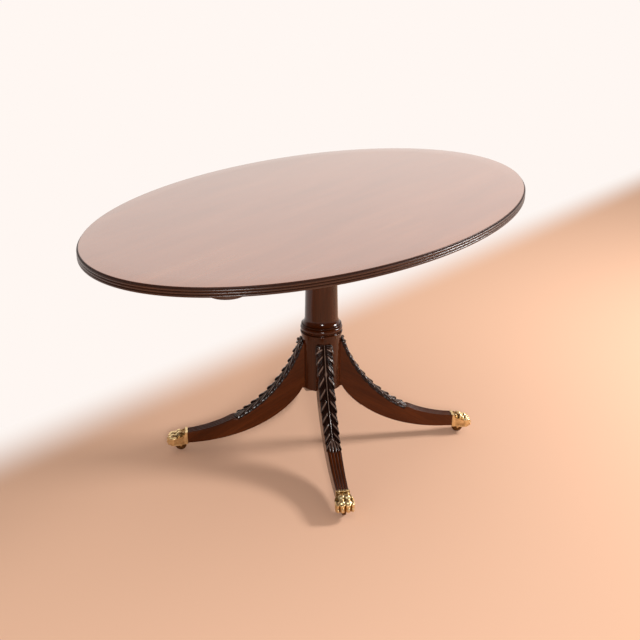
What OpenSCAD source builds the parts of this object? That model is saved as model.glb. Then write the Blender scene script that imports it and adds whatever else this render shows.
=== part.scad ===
// Oval pedestal breakfast table on four carved sabre legs, with brass paw caps and castors.
// The origin is on the floor under the middle of the top. X runs along the top, Z is up.

/* [Top] */
// Height of the top face above the floor
table_h = 737; // [710:1:780]
// Length of the oval top
top_len = 1540; // [1440:2:1800]
// Width of the oval top
top_wid = 970; // [900:10:1150]
// Thickness of the panel and of its lipping
top_th = 24; // [20:0.5:32]
// Width of the reeded lipping
lip_w = 16; // [12:0.5:24]
// Number of reeds round the edge
reed_n = 3; // [2:1:4]
// Height of the step between the top face and the first reed
quirk_h = 3.75; // [2.75:0.25:5]
// Rounding of the edge of the top face, over the first reed
shoulder_r = 2.5; // [1:0.25:2.5]

/* [Bearers and cleats] */
// Distance of each lengthwise bearer from the middle line
bearer_y = 185; // [150:1:200]
// Width of a bearer
bearer_w = 88; // [60:1:110]
// Thickness of a bearer
bearer_th = 21; // [18:1:32]
// Distance of a bearer's round end from the rim
bearer_setback = 66; // [30:1:90]
// Distance from a bearer's tip to the middle of its cross cleat
cleat_inset = 168; // [140:2:220]
// Width of a cleat
cleat_w = 70; // [40:1:90]
// Thickness of a cleat
cleat_th = 22; // [15:1:30]

/* [Pillar block] */
// Length of the block along the table
block_len = 300; // [200:5:340]
// Thickness of the block
block_th = 34; // [28:1:45]
// How far the bearers stand past the block
block_inset = 8; // [0:1:15]
// Corner chamfer of the block
block_chamfer = 30; // [5:1:35]

/* [Column] */
// Radius of the shaft at its top
shaft_top_r = 43.5; // [40:0.5:50]
// Radius of the shaft at its foot
shaft_foot_r = 48; // [45:0.5:52]
// Radius of the turned cap under the block
cap_ring_r = 62; // [55:1:75]
// Height of the turned cap under the block
cap_ring_h = 34; // [20:1:50]
// Height of the hollow sweep between the shaft and the ring
sweep_h = 23; // [15:1:40]
// Radius of the sweep at its foot
sweep_foot_r = 57; // [56.5:0.5:59]
// Outer radius of the ring
ring_r = 60; // [58:0.5:64]
// Height of the ring
ring_h = 16; // [10:0.5:18]
// Height of the groove between the ring and the drum
groove_h = 3.5; // [2:0.25:5]
// Radius at the bottom of the groove
groove_r = 55; // [52:0.5:56]
// Radius of the tenon in the block
head_tenon_r = 24; // [20:0.5:30]
// Radius of the tenon in the drum
foot_tenon_r = 20; // [16:0.5:22]
// Length of the tenon in the drum
foot_tenon_len = 60; // [40:1:80]

/* [Drum] */
// Height of the drum's top above the floor
drum_top_z = 358.5; // [350:0.5:366]
// Height of the whole drum
drum_h = 171.5; // [165:0.5:178]
// Radius of the drum between the legs
drum_r = 57.5; // [56.5:0.5:58.5]
// Radius of the drum's flared collar at its top
collar_r = 61; // [59:0.5:62]
// Height of the flared collar
collar_h = 19; // [12:1:30]
// Chamfer of the drum's lower edge
drum_chamfer = 2; // [0.5:0.5:4]

/* [Legs] */
// Width of a leg at the drum
leg_root_w = 46; // [40:0.5:52]
// Width of a leg at the toe
leg_toe_w = 33; // [29:0.5:35]
// Distance of the wood's end from the middle
leg_reach = 399; // [370:1:430]
// Height of the wood's upper face at the toe
toe_top_z = 61; // [59:0.5:62]
// Height of the wood's lower face at the toe
toe_low_z = 27; // [26:0.5:30]
// Distance of the leg's top end from the middle
leg_top_r = 66; // [62:0.5:75]
// Height of the leg's top end
leg_top_z = 332; // [322:1:335]
// How far a leg's body reaches into the drum before it is cut to the drum's surface
leg_bury = 6; // [4:0.5:8]
// How far outside the drum a leg's lower curve starts
low_start_out = 2; // [1:0.5:3]
// Depth of the dovetail tongue in the drum
tongue_depth = 24; // [18:0.5:25]
// Width of the tongue at the drum's surface
tongue_neck_w = 16; // [12:0.5:18]
// Width of the tongue at its inner end
tongue_tail_w = 22; // [19:0.5:24]
// Height of the wood left over the tongue's slot
tongue_stop = 53.5; // [50:0.5:70]
// Length of the tenon in the paw cap
toe_tenon_len = 11; // [6:0.5:12]
// Width of the tenon in the paw cap
toe_tenon_w = 24; // [16:0.5:26]
// Depth of the shoulder over the tenon
tenon_shoulder = 4; // [2:0.5:6]
// Thickness of the brass under the tenon
tenon_floor = 2.6; // [2:0.1:4]

/* [Leg curve] */
// Upper curve, first pull point, distance from the middle
top_pull1_r = 95; // [85:1:105]
// Upper curve, first pull point, height
top_pull1_z = 229; // [220:1:240]
// Upper curve, second pull point, distance from the middle
top_pull2_r = 202; // [190:1:215]
// Upper curve, second pull point, height
top_pull2_z = 79; // [75:1:90]
// Lower curve, first pull point, distance from the middle
low_pull1_r = 64; // [62:1:72]
// Lower curve, first pull point, height
low_pull1_z = 170; // [162:1:178]
// Lower curve, second pull point, distance from the middle
low_pull2_r = 155; // [148:1:165]
// Lower curve, second pull point, height
low_pull2_z = 30; // [27:1:38]

/* [Paw caps] */
// Height of the cap's lower edge
cap_low_z = 24; // [23.5:0.25:26]
// Height of the cap's upper face over the wood
cap_top_step = 1; // [0.5:0.25:3]
// Width of the cap at the wood
cap_cuff_w = 37; // [36:0.5:42]
// Length of the raised cuff band
cuff_len = 6; // [3:0.5:8]
// How far the cuff band stands proud
cuff_lip = 0.8; // [0.4:0.1:1.5]
// Width of the cap where the toes start
cap_front_w = 51; // [48:0.5:56]
// Distance from the wood to the knuckles of the toes
knuckle_x = 41; // [39:0.5:44]
// Height of the knuckles
knuckle_z = 46.5; // [44:0.5:50]
// Distance from the wood to the tips of the toes
toe_tip_x = 52.5; // [51.5:0.5:55]
// Height of the middle of a toe's tip
toe_tip_z = 29.5; // [28:0.5:32]
// Radius of a toe
toe_r = 7.4; // [7:0.1:7.8]
// Distance between neighbouring toes
toe_pitch = 12.7; // [12:0.1:13.5]
// Radius of the pin that holds a cap to its leg
cap_pin_r = 1.5; // [1:0.1:2]
// Length of that pin
cap_pin_len = 22; // [16:0.5:23]
// Length of the level upper face of the cap
cap_flat_len = 27; // [20:0.5:32]
// How far the cap's body narrows at the toes, each side
cap_nose_in = 4; // [2:0.5:6]

/* [Castors] */
// Distance from the wood to the pintle
pintle_x = 25; // [25:0.25:26]
// Diameter of a castor wheel
wheel_d = 32; // [26:0.5:32]
// Width of a castor wheel
wheel_w = 10; // [8:0.5:10]
// Rounding of the wheel's rim
wheel_edge = 1.5; // [0.5:0.25:2.5]
// Offset of the wheel behind the pintle
trail = 4.5; // [3:0.25:4.5]
// Radius of the axle pin
axle_r = 2; // [1.5:0.1:2.5]
// Radius of the pintle
pintle_r = 3.5; // [2.5:0.1:4]
// Length of the pintle
pintle_len = 16; // [12:0.5:18]
// Radius of the horn's crown
crown_r = 14; // [12:0.25:15]
// Thickness of the horn's crown
crown_th = 2.6; // [2:0.1:3]
// Thickness of a cheek of the horn
cheek_th = 2; // [1.5:0.1:2.4]
// Radius of a cheek round the axle
cheek_r = 9; // [6:0.5:10]
// Half the length of a cheek at the crown
cheek_top = 11; // [8:0.5:12]
// Height of the rivet heads on the axle pin
rivet_h = 1.2; // [0.8:0.1:1.6]

/* [Clearances] */
// Radial clearance of the pintle and of the wheel on its axle
run_fit = 0.05; // [0.02:0.01:0.1]
// Gap between the crown and the cap above it
crown_gap = 0.3; // [0.2:0.05:0.5]
// Gap between the wheel and the crown
wheel_top_gap = 1; // [0.6:0.1:1.5]
// Gap between the wheel and each cheek
wheel_side_gap = 0.4; // [0.3:0.05:0.6]
// Radius of the pocket in the cap, in which the castor turns
pocket_r = 20; // [19.5:0.1:20]

/* [Ironwork] */
// Radius of the tie rod
rod_r = 6; // [4:0.5:8]
// Clearance of the rod in the wood
rod_clear = 0.5; // [0.3:0.1:1]
// Width of a nut across its corners
nut_d = 22; // [20:0.5:26]
// Height of a nut
nut_h = 10; // [8:0.5:11]
// Radius of a washer
washer_r = 15; // [13:0.5:18]
// Thickness of a washer
washer_th = 2.5; // [1.5:0.25:3]
// Length of the rod past each nut
rod_past = 4; // [2:0.5:6]
// Thickness of the spider plate
spider_th = 3; // [2:0.25:4]
// Radius of the spider plate's middle
spider_r = 44; // [36:1:46]
// Width of an arm of the spider plate
spider_arm_w = 24; // [16:1:30]
// Distance from the middle to the end of a spider arm
spider_reach = 118; // [110:1:125]
// How far down the leg's outline is moved to give an arm its thickness, in plate thicknesses
arm_drop = 1.4; // [1.2:0.05:1.6]

/* [Screws] */
// Radius of a screw's shank
screw_r = 2.2; // [1.8:0.1:2.8]
// Radius of a screw's head
screw_head_r = 4.4; // [3.5:0.1:5]
// Depth of the screws in the top panel
screw_bite = 14; // [10:0.5:16]
// Depth of the block screws in the bearers
block_bite = 18; // [12:0.5:20]
// Length of a spider screw
spider_screw_len = 22; // [16:0.5:26]
// Distance of the cleat screws from the middle line
cleat_screw_y = 70; // [40:1:80]

/* [Hidden] */
$fn = 64;

// Finishes
mahogany = [0.33, 0.13, 0.07];
mahogany_top = [0.62, 0.40, 0.31];
dark_wood = [0.24, 0.10, 0.05];
brass = [0.83, 0.62, 0.28];
iron = [0.28, 0.27, 0.26];
steel = [0.62, 0.62, 0.60];

// Directions of the four legs, as turns from the X axis
front_left = 225;
front_right = 315;
back_left = 135;
back_right = 45;
corners = [front_left, front_right, back_left, back_right];

// Steps along the rim, round a reed and along a leg's curves
rim_steps = 120;
reed_steps = 4;
leg_steps = 24;

// Levels, from the top down
panel_z = table_h - top_th;
bearer_z = panel_z - bearer_th;
block_z = bearer_z - block_th;
drum_z = drum_top_z - drum_h;

reed_r = (top_th - quirk_h) / (2 * reed_n);
bearer_tip_x = top_len / 2 * sqrt(1 - pow(2 * bearer_y / top_wid, 2)) - bearer_setback;
bearer_core = 2 * bearer_tip_x - bearer_w;
cleat_x = bearer_tip_x - cleat_inset;
block_wid = 2 * bearer_y + bearer_w - 2 * block_inset;
cleat_len = 2 * bearer_y - bearer_w;

// Where the screws stand
bearer_screw_xs = [(block_len / 2 + cleat_x) / 2, bearer_tip_x - bearer_w];
bearer_screw_spots =
    [for (sx = [-1, 1], x = bearer_screw_xs, sy = [-1, 1]) [sx * x, sy * bearer_y]];
cleat_screw_spots = [for (sx = [-1, 1], sy = [-1, 1]) [sx * cleat_x, sy * cleat_screw_y]];
block_screw_x = block_len / 2 - block_chamfer - screw_head_r;
block_screw_spots = [for (sx = [-1, 1], sy = [-1, 1]) [sx * block_screw_x, sy * bearer_y]];

// Middle of the column's ring, and foot of the sweep just over it
ring_z = drum_top_z + groove_h + ring_h / 2;
sweep_z = ring_z + 0.52 * ring_h;

// Leg outline
leg_top_curve = [
    [leg_top_r, leg_top_z], [top_pull1_r, top_pull1_z],
    [top_pull2_r, top_pull2_z], [leg_reach, toe_top_z]
];
leg_low_curve = [
    [drum_r + low_start_out, drum_z], [low_pull1_r, low_pull1_z],
    [low_pull2_r, low_pull2_z], [leg_reach, toe_low_z]
];
tongue_top_z = drum_top_z - tongue_stop;

// Castor levels
axle_z = wheel_d / 2;
crown_z = wheel_d + wheel_top_gap;
pocket_z = crown_z + crown_th + crown_gap;
pintle_top_z = crown_z + crown_th + pintle_len;
cheek_y = wheel_w / 2 + wheel_side_gap;
rivet_r = 1.6 * axle_r;

// The tenon lies between the pocket's roof and the cap's upper wall
tenon_low_z = pocket_z + tenon_floor;
tenon_top_z = toe_top_z - tenon_shoulder;

// Point on a curve with four control points
function bend(p, t) =
    pow(1 - t, 3) * p[0] + 3 * pow(1 - t, 2) * t * p[1]
    + 3 * (1 - t) * t * t * p[2] + pow(t, 3) * p[3];

// Direction of that curve
function bend_way(p, t) =
    3 * pow(1 - t, 2) * (p[1] - p[0]) + 6 * (1 - t) * t * (p[2] - p[1])
    + 3 * t * t * (p[3] - p[2]);

function curve(p, steps) = [for (i = [0:steps]) bend(p, i / steps)];

function reversed(list) = [for (i = [len(list) - 1:-1:0]) list[i]];

// Point of the oval at a turn, moved inwards square to the rim
function rim_point(turn, inset) =
    let (a = top_len / 2, b = top_wid / 2, out = [b * cos(turn), a * sin(turn)])
    [a * cos(turn), b * sin(turn)] - inset * out / norm(out);

function rim_outline(inset) =
    [for (i = [0:rim_steps - 1]) rim_point(360 * i / rim_steps, inset)];

// Section of the lipping, as [inset, height], from the panel over its shoulder and the reeds
shoulder_points = [
    for (turn = [90:-45:0])
        [reed_r + shoulder_r * (1 - cos(turn)), table_h - shoulder_r * (1 - sin(turn))]
];
reed_points = [
    for (k = [0:reed_n - 1], s = [(k == 0 ? 0 : 1):reed_steps])
        let (turn = 90 - 180 * s / reed_steps)
        [reed_r * (1 - cos(turn)),
         table_h - quirk_h - (2 * k + 1) * reed_r + reed_r * sin(turn)]
];
lip_section = concat([[lip_w, table_h]], shoulder_points, reed_points, [[lip_w, panel_z]]);

// Turns what is drawn along the X axis to one leg's direction
module at(corner) {
    rotate([0, 0, corner]) children();
}

// Countersunk wood screw, head down at the origin, point up
module wood_screw(length) {
    cylinder(h = screw_head_r - screw_r, r1 = screw_head_r, r2 = screw_r);
    cylinder(h = length, r = screw_r);
}

module bearer_screws() {
    color(steel)
    for (spot = bearer_screw_spots)
        translate([spot.x, spot.y, bearer_z]) wood_screw(bearer_th + screw_bite);
}

module cleat_screws() {
    color(steel)
    for (spot = cleat_screw_spots)
        translate([spot.x, spot.y, panel_z - cleat_th]) wood_screw(cleat_th + screw_bite);
}

module block_screws() {
    color(steel)
    for (spot = block_screw_spots)
        translate([spot.x, spot.y, block_z]) wood_screw(block_th + block_bite);
}

module top_panel() {
    color(mahogany_top)
    difference() {
        translate([0, 0, panel_z]) linear_extrude(top_th) polygon(rim_outline(lip_w));
        bearer_screws();
        cleat_screws();
    }
}

module reeded_lipping() {
    n = len(lip_section);
    points = [
        for (i = [0:rim_steps - 1], p = lip_section)
            let (q = rim_point(360 * i / rim_steps, p[0])) [q.x, q.y, p[1]]
    ];
    faces = [
        for (i = [0:rim_steps - 1], j = [0:n - 1], half = [0, 1])
            let (i2 = (i + 1) % rim_steps, j2 = (j + 1) % n)
            half == 0 ? [i * n + j, i * n + j2, i2 * n + j2]
                      : [i * n + j, i2 * n + j2, i2 * n + j]
    ];
    color(mahogany) polyhedron(points = points, faces = faces);
}

module bearer(side) {
    color(dark_wood)
    difference() {
        translate([0, side * bearer_y, bearer_z]) linear_extrude(bearer_th) {
            square([bearer_core, bearer_w], center = true);
            for (s = [-1, 1]) translate([s * bearer_core / 2, 0]) circle(d = bearer_w);
        }
        bearer_screws();
        block_screws();
    }
}

module cleat(side) {
    color(dark_wood)
    difference() {
        translate([side * cleat_x - cleat_w / 2, -cleat_len / 2, panel_z - cleat_th])
            cube([cleat_w, cleat_len, cleat_th]);
        cleat_screws();
    }
}

module pillar_block() {
    x = block_len / 2;
    y = block_wid / 2;
    c = block_chamfer;
    color(dark_wood)
    difference() {
        translate([0, 0, block_z]) linear_extrude(block_th) polygon([
            [-x + c, -y], [x - c, -y], [x, -y + c], [x, y - c],
            [x - c, y], [-x + c, y], [-x, y - c], [-x, -y + c]
        ]);
        translate([0, 0, block_z - 1]) cylinder(h = block_th + 2, r = head_tenon_r);
        block_screws();
    }
}

// Half section of the column, in the plane of its axis
module column_section() {
    flare = sweep_foot_r - shaft_foot_r;
    sweep = [
        [sweep_foot_r, sweep_z], [shaft_foot_r + 0.56 * flare, sweep_z + 0.22 * sweep_h],
        [shaft_foot_r + 0.08 * flare, sweep_z + 0.48 * sweep_h],
        [shaft_foot_r, sweep_z + sweep_h]
    ];
    cap_z = block_z - cap_ring_h;
    cap_flare = cap_ring_r - shaft_top_r;
    cap_sweep = [
        [shaft_top_r, cap_z], [shaft_top_r, cap_z + 0.5 * cap_ring_h],
        [shaft_top_r + 0.5 * cap_flare, cap_z + 0.6 * cap_ring_h],
        [shaft_top_r + 0.8 * cap_flare, cap_z + 0.7 * cap_ring_h]
    ];
    polygon(concat(
        [[0, drum_top_z], [groove_r, drum_top_z], [groove_r, sweep_z]],
        curve(sweep, 8),
        curve(cap_sweep, 8),
        [[cap_ring_r, cap_z + 0.75 * cap_ring_h], [cap_ring_r, block_z], [0, block_z]]
    ));
    translate([ring_r - ring_h / 2, ring_z]) circle(d = ring_h);
}

module column() {
    bore = rod_r + rod_clear;
    color(mahogany)
    difference() {
        union() {
            rotate_extrude($fn = 96) column_section();
            translate([0, 0, drum_top_z - foot_tenon_len])
                cylinder(h = foot_tenon_len + 1, r = foot_tenon_r);
            translate([0, 0, block_z - 1]) cylinder(h = block_th + 1, r = head_tenon_r);
        }
        translate([0, 0, drum_top_z - foot_tenon_len - 1])
            cylinder(h = bearer_z - drum_top_z + foot_tenon_len + 2, r = bore);
    }
}

// The drum before its slots and bores are cut
module drum_blank() {
    collar_z = drum_top_z - collar_h;
    rotate_extrude($fn = 96) polygon([
        [0, drum_z], [drum_r - drum_chamfer, drum_z], [drum_r, drum_z + drum_chamfer],
        [drum_r, collar_z], [collar_r, drum_top_z], [0, drum_top_z]
    ]);
}

// Dovetail tongue of a leg, from inside the drum to past its surface
module tongue() {
    inner = drum_r - tongue_depth;
    outer = drum_r + 1;
    translate([0, 0, drum_z]) linear_extrude(tongue_top_z - drum_z) polygon([
        [inner, -tongue_tail_w / 2], [outer, -tongue_neck_w / 2],
        [outer, tongue_neck_w / 2], [inner, tongue_tail_w / 2]
    ]);
}

module drum() {
    color(mahogany)
    difference() {
        drum_blank();
        for (corner = corners) at(corner) tongue();
        translate([0, 0, drum_top_z - foot_tenon_len])
            cylinder(h = foot_tenon_len + 1, r = foot_tenon_r);
        translate([0, 0, drum_z - 1]) cylinder(h = drum_h, r = rod_r + rod_clear);
    }
}

// Side view of a leg, with its inner end inside the drum
module leg_side() {
    polygon(concat(
        [[drum_r - leg_bury, leg_top_z]], curve(leg_top_curve, leg_steps),
        reversed(curve(leg_low_curve, leg_steps)), [[drum_r - leg_bury, drum_z]]
    ));
}

// Stands a side view up in the leg's own plane, as thick as it is wide
module upright(width) {
    translate([0, width / 2, 0]) rotate([90, 0, 0]) linear_extrude(width) children();
}

// The leg's body, which narrows towards the toe
module leg_body() {
    intersection() {
        upright(leg_root_w) leg_side();
        linear_extrude(table_h) polygon([
            [0, -leg_root_w / 2], [drum_r, -leg_root_w / 2], [leg_reach, -leg_toe_w / 2],
            [leg_reach, leg_toe_w / 2], [drum_r, leg_root_w / 2], [0, leg_root_w / 2]
        ]);
    }
}

// Tenon at the toe of a leg, in the paw cap
module toe_tenon() {
    translate([leg_reach - 1, -toe_tenon_w / 2, tenon_low_z])
        cube([toe_tenon_len + 1, toe_tenon_w, tenon_top_z - tenon_low_z]);
}

// Pin through the cap's upper wall into the tenon
module cap_pin() {
    pin_x = leg_reach + toe_tenon_len / 2;
    pin_top_z = toe_top_z + cap_top_step + cuff_lip;
    translate([pin_x, 0, pin_top_z - cap_pin_len]) cylinder(h = cap_pin_len, r = cap_pin_r);
}

module cap_pins() {
    color(brass)
    for (corner = corners) at(corner) cap_pin();
}

// Screws through one arm of the spider plate into its leg, square to the leg's lower curve
module arm_screws() {
    for (t = [0.25, 0.36]) {
        spot = bend(leg_low_curve, t);
        way = bend_way(leg_low_curve, t);
        tilt = -atan2(way[1], way[0]);
        translate([spot[0], 0, spot[1]]) rotate([0, tilt, 0])
            translate([0, 0, -spider_th]) wood_screw(spider_screw_len);
    }
}

module spider_screws() {
    color(steel)
    for (corner = corners) at(corner) arm_screws();
}

module leg() {
    color(mahogany)
    difference() {
        union() {
            difference() {
                leg_body();
                drum_blank();
            }
            intersection() {
                tongue();
                drum_blank();
            }
            toe_tenon();
        }
        arm_screws();
        cap_pin();
    }
}

// Side view of one arm: flat under the drum, then along the leg's lower curve
module arm_side() {
    difference() {
        union() {
            intersection() {
                translate([0, -arm_drop * spider_th]) leg_side();
                square([spider_reach, drum_z]);
            }
            translate([0, drum_z - spider_th]) square([drum_r + low_start_out, spider_th]);
        }
        leg_side();
    }
}

module spider_plate() {
    color(iron)
    difference() {
        union() {
            translate([0, 0, drum_z - spider_th]) cylinder(h = spider_th, r = spider_r);
            for (corner = corners) at(corner) upright(spider_arm_w) arm_side();
        }
        translate([0, 0, drum_z - spider_th - 1]) cylinder(h = spider_th + 2, r = rod_r);
        for (corner = corners) at(corner) arm_screws();
    }
}

// Levels of the rod's two ends and of what is screwed on them
low_washer_z = drum_z - spider_th - washer_th;
low_nut_z = low_washer_z - nut_h;
high_nut_z = bearer_z + washer_th;

module tie_rod() {
    low_z = low_nut_z - rod_past;
    color(steel)
    translate([0, 0, low_z]) cylinder(h = high_nut_z + nut_h + rod_past - low_z, r = rod_r);
}

module rod_nuts() {
    color(steel)
    for (z = [low_nut_z, high_nut_z])
        translate([0, 0, z]) difference() {
            cylinder(h = nut_h, d = nut_d, $fn = 6);
            translate([0, 0, -1]) cylinder(h = nut_h + 2, r = rod_r);
        }
}

module rod_washers() {
    color(steel)
    for (z = [low_washer_z, bearer_z])
        translate([0, 0, z]) difference() {
            cylinder(h = washer_th, r = washer_r);
            translate([0, 0, -1]) cylinder(h = washer_th + 2, r = rod_r);
        }
}

// Paw cap
// Side view of the cap behind its toes, from the wood outwards
module cap_side() {
    top_z = toe_top_z + cap_top_step;
    translate([leg_reach, 0]) polygon([
        [0, cap_low_z], [0, top_z + cuff_lip], [cuff_len, top_z + cuff_lip],
        [cuff_len, top_z], [cap_flat_len, top_z], [knuckle_x, knuckle_z + toe_r],
        [toe_tip_x - cap_nose_in, knuckle_z], [toe_tip_x, toe_tip_z],
        [toe_tip_x - cap_nose_in, cap_low_z]
    ]);
}

// Plan of the cap behind its toes
module cap_plan() {
    cuff = cap_cuff_w / 2;
    front = cap_front_w / 2;
    translate([leg_reach, 0]) polygon([
        [0, -cuff - cuff_lip], [cuff_len, -cuff - cuff_lip], [cuff_len, -cuff],
        [knuckle_x - toe_r, -front], [knuckle_x, -front],
        [toe_tip_x, -front + cap_nose_in], [toe_tip_x, front - cap_nose_in],
        [knuckle_x, front], [knuckle_x - toe_r, front],
        [cuff_len, cuff], [cuff_len, cuff + cuff_lip], [0, cuff + cuff_lip]
    ]);
}

// One toe, a round-ended roll from its knuckle to its tip
module toe() {
    length = norm([toe_tip_x - knuckle_x, knuckle_z - toe_tip_z]);
    lean = atan2(toe_tip_x - knuckle_x, toe_tip_z - knuckle_z);
    translate([leg_reach + knuckle_x, 0, knuckle_z]) rotate([0, lean, 0])
    rotate_extrude($fn = 32) intersection() {
        union() {
            circle(toe_r);
            translate([0, length]) circle(toe_r);
            translate([-toe_r, 0]) square([2 * toe_r, length]);
        }
        translate([0, -toe_r]) square([toe_r, length + 2 * toe_r]);
    }
}

module paw_cap() {
    pintle_at = leg_reach + pintle_x;
    color(brass)
    difference() {
        union() {
            intersection() {
                upright(2 * cap_front_w) cap_side();
                linear_extrude(table_h) cap_plan();
            }
            for (k = [-1.5:1.5]) translate([0, k * toe_pitch, 0]) toe();
        }
        translate([pintle_at, 0, -1]) cylinder(h = pocket_z + 1, r = pocket_r);
        translate([pintle_at, 0, 0])
            cylinder(h = pintle_top_z + 2 * crown_gap, r = pintle_r + run_fit);
        toe_tenon();
        cap_pin();
    }
}

// Castor
module castor_horn() {
    color(brass)
    translate([leg_reach + pintle_x, 0, 0]) {
        translate([0, 0, crown_z]) cylinder(h = crown_th, r = crown_r);
        translate([0, 0, crown_z + crown_th - 1]) cylinder(h = pintle_len + 1, r = pintle_r);
        for (side = [-1, 1])
            translate([0, side * (cheek_y + cheek_th / 2), 0])
            difference() {
                upright(cheek_th) {
                    translate([-trail, axle_z]) circle(cheek_r);
                    polygon([
                        [-trail - cheek_r, axle_z], [-trail + cheek_r, axle_z],
                        [cheek_top, crown_z + crown_th / 2],
                        [-cheek_top, crown_z + crown_th / 2]
                    ]);
                }
                translate([-trail, cheek_th, axle_z]) rotate([90, 0, 0])
                    cylinder(h = 2 * cheek_th, r = axle_r);
            }
    }
}

module castor_axle() {
    half = cheek_y + cheek_th;
    color(brass)
    translate([leg_reach + pintle_x - trail, 0, axle_z]) rotate([90, 0, 0]) {
        translate([0, 0, -half]) cylinder(h = 2 * half, r = axle_r);
        for (z = [-half - rivet_h, half]) translate([0, 0, z]) cylinder(h = rivet_h, r = rivet_r);
    }
}

module castor_wheel() {
    r = wheel_d / 2;
    bore = axle_r + run_fit;
    half = wheel_w / 2;
    color(brass)
    translate([leg_reach + pintle_x - trail, 0, axle_z]) rotate([90, 0, 0])
    rotate_extrude($fn = 96) polygon([
        [bore, -half], [r - wheel_edge, -half], [r, -half + wheel_edge],
        [r, half - wheel_edge], [r - wheel_edge, half], [bore, half]
    ]);
}

top_panel();
reeded_lipping();
bearer(-1);  // bearer_front
bearer(1);  // bearer_back
cleat(-1);  // cleat_left
cleat(1);  // cleat_right
pillar_block();
column();
drum();
tie_rod();
rod_nuts();
rod_washers();
spider_plate();
at(front_left) leg();  // leg_front_left
at(front_right) leg();  // leg_front_right
at(back_left) leg();  // leg_back_left
at(back_right) leg();  // leg_back_right
at(front_left) paw_cap();  // paw_cap_front_left
at(front_right) paw_cap();  // paw_cap_front_right
at(back_left) paw_cap();  // paw_cap_back_left
at(back_right) paw_cap();  // paw_cap_back_right
at(front_left) castor_horn();  // castor_horn_front_left
at(front_right) castor_horn();  // castor_horn_front_right
at(back_left) castor_horn();  // castor_horn_back_left
at(back_right) castor_horn();  // castor_horn_back_right
at(front_left) castor_axle();  // castor_axle_front_left
at(front_right) castor_axle();  // castor_axle_front_right
at(back_left) castor_axle();  // castor_axle_back_left
at(back_right) castor_axle();  // castor_axle_back_right
at(front_left) castor_wheel();  // castor_wheel_front_left
at(front_right) castor_wheel();  // castor_wheel_front_right
at(back_left) castor_wheel();  // castor_wheel_back_left
at(back_right) castor_wheel();  // castor_wheel_back_right
bearer_screws();
cleat_screws();
block_screws();
spider_screws();
cap_pins();
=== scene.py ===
# %% [markdown]
# # An oval pedestal table in polished mahogany
#
# The table has an oval top with a reeded edge, a turned column and drum, and four downswept
# legs with carved acanthus leaves, brass paw caps and small castors. The construction comes from
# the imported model, which holds the true sizes. This lesson dresses it: each cell makes one kind
# of piece or finish and says why it is made that way.

import bmesh
import bpy
import numpy as np
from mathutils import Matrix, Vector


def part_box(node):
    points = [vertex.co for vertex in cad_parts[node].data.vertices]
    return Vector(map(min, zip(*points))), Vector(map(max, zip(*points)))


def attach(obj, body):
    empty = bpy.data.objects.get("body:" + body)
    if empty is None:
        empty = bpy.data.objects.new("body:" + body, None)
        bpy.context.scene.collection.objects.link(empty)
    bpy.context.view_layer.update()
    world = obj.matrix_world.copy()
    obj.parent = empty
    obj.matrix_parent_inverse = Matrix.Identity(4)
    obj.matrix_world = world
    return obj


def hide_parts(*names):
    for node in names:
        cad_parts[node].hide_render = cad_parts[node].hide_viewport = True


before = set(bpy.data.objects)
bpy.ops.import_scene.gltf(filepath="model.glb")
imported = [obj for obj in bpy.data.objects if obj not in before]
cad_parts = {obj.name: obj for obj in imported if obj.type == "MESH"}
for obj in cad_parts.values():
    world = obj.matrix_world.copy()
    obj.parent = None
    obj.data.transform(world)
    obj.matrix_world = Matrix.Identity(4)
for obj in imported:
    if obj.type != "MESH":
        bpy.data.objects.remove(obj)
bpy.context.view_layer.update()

# %% [markdown]
# ## Surfaces on a grid
#
# Every new piece is made of closed surfaces, and each surface is a grid of points worked out as
# whole arrays. A grid may wrap round on itself in either direction, as a turned ring does. The
# faces only need the grid's size, so one helper can make them for every piece.


# %% Grid helpers
def grid_faces(rows, cols, wrap_rows, wrap_cols):
    """Four-sided faces of a grid: each point joins its neighbours down and across, and a wrapped
    side joins the last line to the first."""
    row = np.arange(rows if wrap_rows else rows - 1)[:, None]
    col = np.arange(cols if wrap_cols else cols - 1)[None, :]
    below, beside = (row + 1) % rows, (col + 1) % cols
    corners = (row * cols + col, below * cols + col, below * cols + beside, row * cols + beside)
    return np.stack([c + 0 * row + 0 * col for c in corners], axis=-1).reshape(-1, 4)


def signed_volume(points, faces):
    """Volume inside a closed surface: a sixth of the triple product of each triangle's corners,
    added up. It is negative when the faces point inwards."""
    a, b, c, d = (points[faces[:, k]] for k in range(4))
    halves = np.sum(a * np.cross(b, c), axis=1) + np.sum(a * np.cross(c, d), axis=1)
    return halves.sum() / 6


def sheet(points, wrap_rows=False, wrap_cols=True, grain=None, painted_shade=0.0):
    """One closed surface: its points, its faces turned outwards, the direction that its wood
    grain follows, and the painted shade of each point, from 0 to 1."""
    rows, cols = points.shape[:2]
    flat = points.reshape(-1, 3)
    faces = grid_faces(rows, cols, wrap_rows, wrap_cols)
    if signed_volume(flat, faces) < 0:
        faces = faces[:, ::-1]
    grain = flat if grain is None else grain.reshape(-1, 3)
    painted_shade = np.broadcast_to(painted_shade, (rows, cols)).reshape(-1)
    return {"points": flat, "faces": faces, "grain": grain, "painted_shade": painted_shade}


print("faces of a grid of 3 by 4 points that wraps across:", len(grid_faces(3, 4, False, True)))

# %% [markdown]
# ## From grids to a piece
#
# A piece is one object that holds one or more closed surfaces. Poles and seams are grid lines
# that fall on one another, and merging their doubles closes them. Two attributes are kept with
# the points, the grain's own coordinates and the painted shade, so that a material can follow
# the surface without any picture.

# %% Make a piece
SHARP = np.radians(38)


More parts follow.
